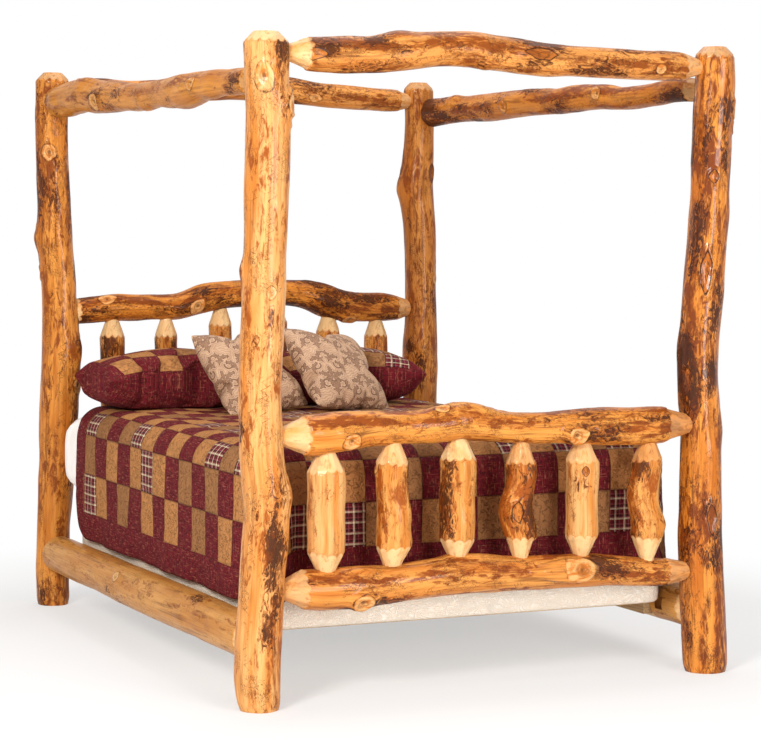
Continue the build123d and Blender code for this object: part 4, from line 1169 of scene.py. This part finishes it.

# Seams between the patches, and the quilting's meander over them all, both darkened as painted shade in their
# grooves and sunk by the bump
from_seams = [calc(tree, "PINGPONG", calc(tree, "FRACT", way), 0.5) for way in (column, row)]
seam_shade_and_groove = fading(tree, calc(tree, "MINIMUM", *from_seams), 0.0, 0.03)
seam_shade_and_groove = calc(tree, "MULTIPLY", seam_shade_and_groove, calc(tree, "SUBTRACT", 1.0, edge_cloth))
meander = thin_lines(tree, clouds(tree, cloth_place, 42, 1.0, 0.4, 1.6), 0.04)
# Painted shade: black laid over the seams and the meander lines, as if they were shaded in their grooves
pieced = laid_over(tree, pieced, black, seam_shade_and_groove, 0.3)
pieced = laid_over(tree, pieced, black, meander, 0.3)
feed(tree, result["Color"], pieced)
height = calc(tree, "MULTIPLY_ADD", meander, -1.0, calc(tree, "MULTIPLY", seam_shade_and_groove, -1.0))
height = calc(tree, "MULTIPLY_ADD", clouds(tree, cloth_place, 60, 2), 0.8, height)
feed(tree, result["Height"], calc(tree, "MULTIPLY_ADD", crackle, 0.3, height))


def patchwork_cloth(name, draw):
    """Pieced and quilted cotton; draw picks which patches are plaid."""
    material, tree, shader, bump = new_material(name)
    out = place_group(tree, patchwork_group, {
        "Patch": attribute(tree, "patch", "Vector"), "Cloth": attribute(tree, "cloth", "Vector"),
        "Burgundy": (0.155, 0.010, 0.017, 1), "Slub": (0.44, 0.16, 0.085, 1), "Plum": (0.32, 0.075, 0.085, 1),
        "Tan": (0.54, 0.235, 0.078, 1), "Brown": (0.36, 0.160, 0.060, 1), "Cream": (0.86, 0.72, 0.48, 1),
        "Black": (0.022, 0.010, 0.011, 1), "Draw": draw,
    })
    give_look(tree, shader, bump, out["Color"], 0.9, out["Height"], 0.9, 0.006, 0.15)
    return material


quilt.data.materials.append(patchwork_cloth("Patchwork quilt cloth", 4.0))

# ------------------------------------------------------------------------------------------------
# Pillows. Two quilted shams that lie at the headboard, and two damask throw pillows that lean on them.
# Each is a case sewn from two layers round its edge and stuffed until it wrinkles at the seam.


def sewn_case(name, width, depth, pitch, frames, pressure):
    """Two layers of cloth sewn round their edge and blown up by their stuffing.

    Gives the points, the faces, each point's flat place, and which layer it is in: 1 on top, -1 below.
    """
    nx, ny = int(round(width / pitch)), int(round(depth / pitch))
    xs = np.linspace(-width / 2, width / 2, nx + 1)
    ys = np.linspace(-depth / 2, depth / 2, ny + 1)
    x, y = (grid.ravel() for grid in np.meshgrid(xs, ys, indexing="ij"))
    flat = np.column_stack([x, y])
    inner = (abs(x) < width / 2 - 1e-6) & (abs(y) < depth / 2 - 1e-6)
    first_lift = 0.02
    lift = first_lift * (1 - (2 * x / width) ** 2) * (1 - (2 * y / depth) ** 2)
    lift += (soft_noise(np.column_stack([flat, x * 0]), 40, len(name)) - 0.5) * 0.004 * inner
    top = np.column_stack([flat, lift])
    below_number = np.full(len(flat), -1)
    below_number[inner] = len(flat) + np.arange(inner.sum())
    below_number[~inner] = np.flatnonzero(~inner)
    points = np.concatenate([top, np.column_stack([flat, -lift])[inner]])
    flat_all = np.concatenate([flat, flat[inner]])
    layer = np.concatenate([np.where(inner, 1.0, 0.0), np.full(inner.sum(), -1.0)])
    faces = []
    for i in range(nx):
        for j in range(ny):
            a = i * (ny + 1) + j
            square = (a, a + ny + 1, a + ny + 2, a + 1)
            faces.append(square)
            faces.append(tuple(int(below_number[k]) for k in square[::-1]))
    case = mesh_object(name + "_case", points, faces)
    cloth = case.modifiers.new("stuffing", "CLOTH")
    settings = cloth.settings
    settings.quality = 8
    settings.mass = 0.25
    settings.tension_stiffness = settings.compression_stiffness = 20
    settings.shear_stiffness = 8
    settings.bending_stiffness = 0.6
    settings.use_pressure = True
    settings.uniform_pressure_force = pressure
    settings.effector_weights.gravity = 0
    scene = bpy.context.scene
    for number in range(1, frames + 1):
        scene.frame_set(number)
    grown = case.evaluated_get(bpy.context.evaluated_depsgraph_get()).to_mesh()
    swollen = np.zeros(len(grown.vertices) * 3, np.float32)
    grown.vertices.foreach_get("co", swollen)
    swollen = swollen.reshape(-1, 3).astype(float)
    scene.frame_set(1)
    bpy.data.objects.remove(case)
    return swollen, faces, flat_all, layer


def lay_pillow(name, node, body, case, size, turn, squeeze, levels):
    """Scale a stuffed case to its size, flatten what it rests on, and lay it where its CAD solid is.

    Gives the piece, and the flat place and the layer of each point of its rounded mesh.
    """
    points, faces, flat, layer = case
    points = points - (points.max(axis=0) + points.min(axis=0)) / 2
    points = points * (np.array(size) / (points.max(axis=0) - points.min(axis=0)))
    low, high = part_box(node)
    turned = squeeze(points) @ np.array(turn).T + np.array((low + high) / 2)
    piece = new_piece(name, turned, faces, body)
    set_attribute(piece.data, "cloth", np.column_stack([flat, layer]))
    rounding = piece.modifiers.new("rounding", "SUBSURF")
    rounding.levels = rounding.render_levels = levels
    apply_modifiers(piece)
    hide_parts(node)
    cloth = np.zeros(len(piece.data.vertices) * 3, np.float32)
    piece.data.attributes["cloth"].data.foreach_get("vector", cloth)
    return piece, cloth.reshape(-1, 3)


def settled(points, upper, lower, press, fullness):
    """Fill a case out to its edges but not its corners, and flatten its underside by its own weight."""
    half = points[:, 2].max()
    share = np.clip(abs(points[:, 2]) / half, 0, 1)
    across, deep = abs(points[:, 0]) / points[:, 0].max(), abs(points[:, 1]) / points[:, 1].max()
    corner = smooth_step(np.minimum(across, deep), 0.55, 0.95)
    top = share ** (upper + (1 - upper) * corner)
    bottom = np.minimum(share ** (lower + (1 - lower) * corner) * press, 1 + 0.04 * share)
    points[:, 2] = np.where(points[:, 2] > 0, top, -bottom) * half
    points[:, 0] *= 1 + fullness * (1 - deep**2) * across
    points[:, 1] *= 1 + fullness * (1 - across**2) * deep
    points[:, 2] *= 2 * half / (points[:, 2].max() - points[:, 2].min())
    points[:, 2] += half - points[:, 2].max()
    return points


def lie_down(points):
    """A sham that lies flat on the quilt."""
    return settled(points, 0.70, 0.5, 1.25, 0.08)


sham_width, sham_depth = 0.760, 0.540
sham_size = (0.702, 0.452, 0.236)
side_strip, front_strip = 0.085, 0.030
sham_columns, sham_rows = 6, 4
sham_case = sewn_case("sham", sham_width, sham_depth, 0.014, 24, 5.0)
sham_cloth = patchwork_cloth("Patchwork sham cloth", 9.0)
for side in ("right", "left"):
    name = "sham_" + side
    sham, flat = lay_pillow(
        name, "pillow_" + name, name, sham_case, sham_size, Matrix.Identity(3), lie_down, 1,
    )
    patch_x = (flat[:, 0] + sham_width / 2 - side_strip) / ((sham_width - 2 * side_strip) / sham_columns)
    patch_y = (flat[:, 1] + sham_depth / 2 - front_strip) / ((sham_depth - 2 * front_strip) / sham_rows)
    on_panel = (patch_x >= 0) & (patch_x <= sham_columns) & (patch_y >= 0) & (patch_y <= sham_rows)
    border = 1.0 - (on_panel & (flat[:, 2] >= 0.5))
    set_attribute(sham.data, "patch", np.column_stack([patch_x, patch_y, border]))
    sham.data.materials.append(sham_cloth)


def curl(centre, start, sweep, radius, growth, count=26):
    """Points along a curl that winds out from its middle."""
    share = np.linspace(0, 1, count)
    turn = np.radians(start + sweep * share)
    reach = radius * growth ** (share * abs(sweep) / 360)
    return np.column_stack([centre[0] + reach * np.cos(turn), centre[1] + reach * np.sin(turn)])


def leaf(root, heading, length, bow, count=14):
    """Points along a leaf's bowed midrib."""
    share = np.linspace(0, 1, count)
    turn = math.radians(heading)
    side = bow * length * np.sin(share * math.pi)
    x = root[0] + share * length * math.cos(turn) - side * math.sin(turn)
    y = root[1] + share * length * math.sin(turn) + side * math.cos(turn)
    return np.column_stack([x, y])


def acanthus(root, heading, length, bow, width, lobes):
    """The strokes of an acanthus leaf: its midrib, and lobes that spread from it on both sides."""
    rib = leaf(root, heading, length, bow)
    strokes = [(rib, width, True)]
    for lobe in range(lobes):
        share = (lobe + 0.7) / (lobes + 0.6)
        foot = rib[int(share * (len(rib) - 1))]
        lean = math.degrees(bow * math.pi * math.cos(share * math.pi))
        for side in (-1, 1):
            reach = length * 0.40 * (1 - 0.55 * share)
            spread = leaf(foot, heading + lean + side * (64 - 26 * share), reach, -0.22 * side, 8)
            strokes.append((spread, width * 0.62 * (1 - 0.4 * share), True))
    return strokes


# A common half-drop damask: one half of a repeat, drawn as curls and acanthus leaves, then mirrored
damask_width, damask_height = 0.150, 0.215
figures = [
    (curl((0.034, 0.048), 200, -330, 0.020, 0.55), 0.0034, False),
    (curl((0.046, 0.132), 150, 320, 0.018, 0.5), 0.0030, False),
    *acanthus((0.0, 0.004), 66, 0.070, 0.18, 0.0078, 4),
    *acanthus((0.006, 0.060), 34, 0.062, 0.24, 0.0068, 4),
    *acanthus((0.0, 0.080), 90, 0.046, 0.02, 0.0080, 3),
    *acanthus((0.068, 0.100), 122, 0.060, -0.24, 0.0066, 4),
    *acanthus((0.012, 0.150), 18, 0.058, 0.30, 0.0066, 4),
    *acanthus((0.070, 0.026), 104, 0.046, 0.24, 0.0058, 3),
    *acanthus((0.0, 0.200), -52, 0.042, 0.22, 0.0058, 3),
]


def damask_distance(flat):
    """How far each place is outside the damask's figures, in millimetres; less than 0 is inside."""
    column = np.floor(flat[:, 0] / damask_width + 0.5)
    x = abs(flat[:, 0] - column * damask_width)
    y = np.mod(flat[:, 1] + np.mod(column, 2) * damask_height / 2, damask_height)
    nearest = np.full(len(x), 1.0)
    for points, width, tapers in figures:
        share = np.linspace(0, 1, len(points))
        thinned = np.sin(math.pi * (0.10 + 0.88 * share)) ** 0.9 if tapers else 1 - 0.5 * share
        for (px, py), w in zip(points, width * thinned):
            away = abs(y - py)
            away = np.minimum(away, damask_height - away)
            nearest = np.minimum(nearest, np.hypot(x - px, away) - w)
    return nearest * 1000


damask, tree, shader, bump = new_material("Taupe and brown damask")
scroll = attribute(tree, "scroll")
cloth_place = stretched(tree, attribute(tree, "cloth", "Vector"), (1, 1, 0))
twill = clouds(tree, stretched(tree, cloth_place, (1, 0.3, 1)), 800, 2, 0.6)
fade = clouds(tree, cloth_place, 30, 3)
figure = fading(tree, scroll, -0.4, 0.4)
outline = thin_lines(tree, calc(tree, "MULTIPLY_ADD", scroll, 0.2, 0.5), 0.34)
vein = calc(tree, "SINE", calc(tree, "MULTIPLY", scroll, 1.9))
echo = band(tree, calc(tree, "SINE", calc(tree, "MULTIPLY_ADD", scroll, 0.70, -2.6)), 0.40, 0.85)
ground = blend(tree, band(tree, fade, 0.35, 0.65), (0.60, 0.385, 0.245, 1), (0.50, 0.305, 0.190, 1))
ground = laid_over(tree, ground, (0.27, 0.150, 0.088, 1), echo, 0.62)
brown = blend(tree, band(tree, vein, -0.2, 1.0), (0.21, 0.105, 0.058, 1), (0.38, 0.215, 0.125, 1))
brocade = blend(tree, figure, ground, brown)
brocade = laid_over(tree, brocade, (0.10, 0.045, 0.028, 1), outline, 0.8)
brocade = laid_over(tree, brocade, (0.68, 0.48, 0.33, 1), band(tree, twill, 0.5, 0.75), 0.25)
rough = calc(tree, "MULTIPLY_ADD", figure, -0.2, 0.75)
height = calc(tree, "MULTIPLY_ADD", twill, 0.4, figure)
give_look(tree, shader, bump, brocade, rough, height, 0.5, 0.0008, 0.25)


def puff_up(points):
    """A throw pillow that stands on its edge, so nothing presses it flat."""
    return settled(points, 0.74, 0.74, 1.0, 0.18)


def leaned_turn(lean, roll, turn):
    """The axes of a pillow that leans back from lying flat, rolls about its face and turns, in degrees."""
    tipped = Matrix.Rotation(math.radians(lean), 3, "X") @ Matrix.Rotation(math.radians(roll), 3, "Z")
    return Matrix.Rotation(math.radians(turn), 3, "Z") @ tipped


throw_side = 0.425
throw_size = (0.396, 0.396, 0.150)
throw_case = sewn_case("throw", throw_side, throw_side, 0.0115, 22, 6.0)
for side, turn, shift in (
    ("left", leaned_turn(50, 5, 14), (0.020, 0.015)),
    ("right", leaned_turn(48, -8, 24), (-0.048, 0.055)),
):
    name = "throw_" + side
    throw, flat = lay_pillow(name, "throw_pillow_" + side, name, throw_case, throw_size, turn, puff_up, 3)
    set_attribute(throw.data, "scroll", damask_distance(flat[:, :2] + shift))
    throw.data.materials.append(damask)

# ------------------------------------------------------------------------------------------------
# Stage. A pale floor and backdrop that show white, three soft lamps and the camera. None of it is a
# part of the bed.

floor_reach = 30
floor_corners = [(x * floor_reach, y * floor_reach, 0) for x, y in ((-1, -1), (1, -1), (1, 1), (-1, 1))]
floor = mesh_object("floor", floor_corners, [(0, 1, 2, 3)])


def seen_ray(tree):
    """1 on rays to the camera, straight, mirrored or through glass."""
    rays = tree.nodes.new("ShaderNodeLightPath").outputs
    mirrored = calc(tree, "MAXIMUM", rays["Is Glossy Ray"], rays["Is Transmission Ray"])
    return calc(tree, "MAXIMUM", rays["Is Camera Ray"], mirrored)


floor_material = bpy.data.materials.new("Pale floor")
floor_material.use_nodes = True
tree = floor_material.node_tree
tree.nodes.clear()
pale = put(tree, "ShaderNodeBsdfDiffuse", {"Color": (0.93, 0.93, 0.93, 1)})
white = put(tree, "ShaderNodeEmission", {"Color": (1, 1, 1, 1), "Strength": 1.0})
where = object_place(tree)
away = put(tree, "ShaderNodeVectorMath", {0: where}, out=1, operation="LENGTH")
glow = calc(tree, "MULTIPLY_ADD", band(tree, away, 1.6, 3.0), 0.5, 0.5)
shown = put(tree, "ShaderNodeMixShader", {0: calc(tree, "MULTIPLY", glow, seen_ray(tree)), 1: pale, 2: white})
feed(tree, tree.nodes.new("ShaderNodeOutputMaterial").inputs["Surface"], shown)
floor.data.materials.append(floor_material)

world = bpy.data.worlds.new("white studio")
bpy.context.scene.world = world
world.use_nodes = True
tree = world.node_tree
tree.nodes.clear()
ambient = put(tree, "ShaderNodeBackground", {"Color": (1.0, 0.98, 0.95, 1), "Strength": 0.45})
white = put(tree, "ShaderNodeBackground", {"Color": (1, 1, 1, 1), "Strength": 1.0})
shown = put(tree, "ShaderNodeMixShader", {0: seen_ray(tree), 1: ambient, 2: white})
feed(tree, tree.nodes.new("ShaderNodeOutputWorld").inputs["Surface"], shown)


def softbox(name, place, target, size, power, tint=(1, 1, 1)):
    """A square lamp that looks at a target."""
    light = bpy.data.lights.new(name, "AREA")
    light.size = size
    light.energy = power
    light.color = tint
    lamp = new_object(name, light)
    lamp.location = place
    lamp.rotation_euler = (Vector(target) - Vector(place)).to_track_quat("-Z", "Y").to_euler()


softbox("key", (-5.8, -5.8, 4.2), (0, 0, 0.9), 1.8, 520, (1.0, 0.98, 0.95))
softbox("front fill", (1.2, -7.5, 1.5), (0, 0, 0.6), 2.4, 240)
softbox("top", (0.5, 0.5, 5.5), (0, 0, 0), 3.5, 110)

camera_data = bpy.data.cameras.new("camera")
camera_data.sensor_width = 36.0
camera_data.lens = 109.50
camera = new_object("camera", camera_data)
camera.location = (-3.6207, -7.9889, 1.5554)
yaw, pitch, roll = (math.radians(angle) for angle in (25.012, -3.537, 0.333))
forward = Vector((math.sin(yaw) * math.cos(pitch), math.cos(yaw) * math.cos(pitch), math.sin(pitch)))
aim = forward.to_track_quat("-Z", "Y").to_matrix()
camera.rotation_euler = (aim @ Matrix.Rotation(roll, 3, "Z")).to_euler()
camera_data.clip_end = 200
bpy.context.scene.camera = camera
bpy.context.scene.view_settings.view_transform = "Standard"
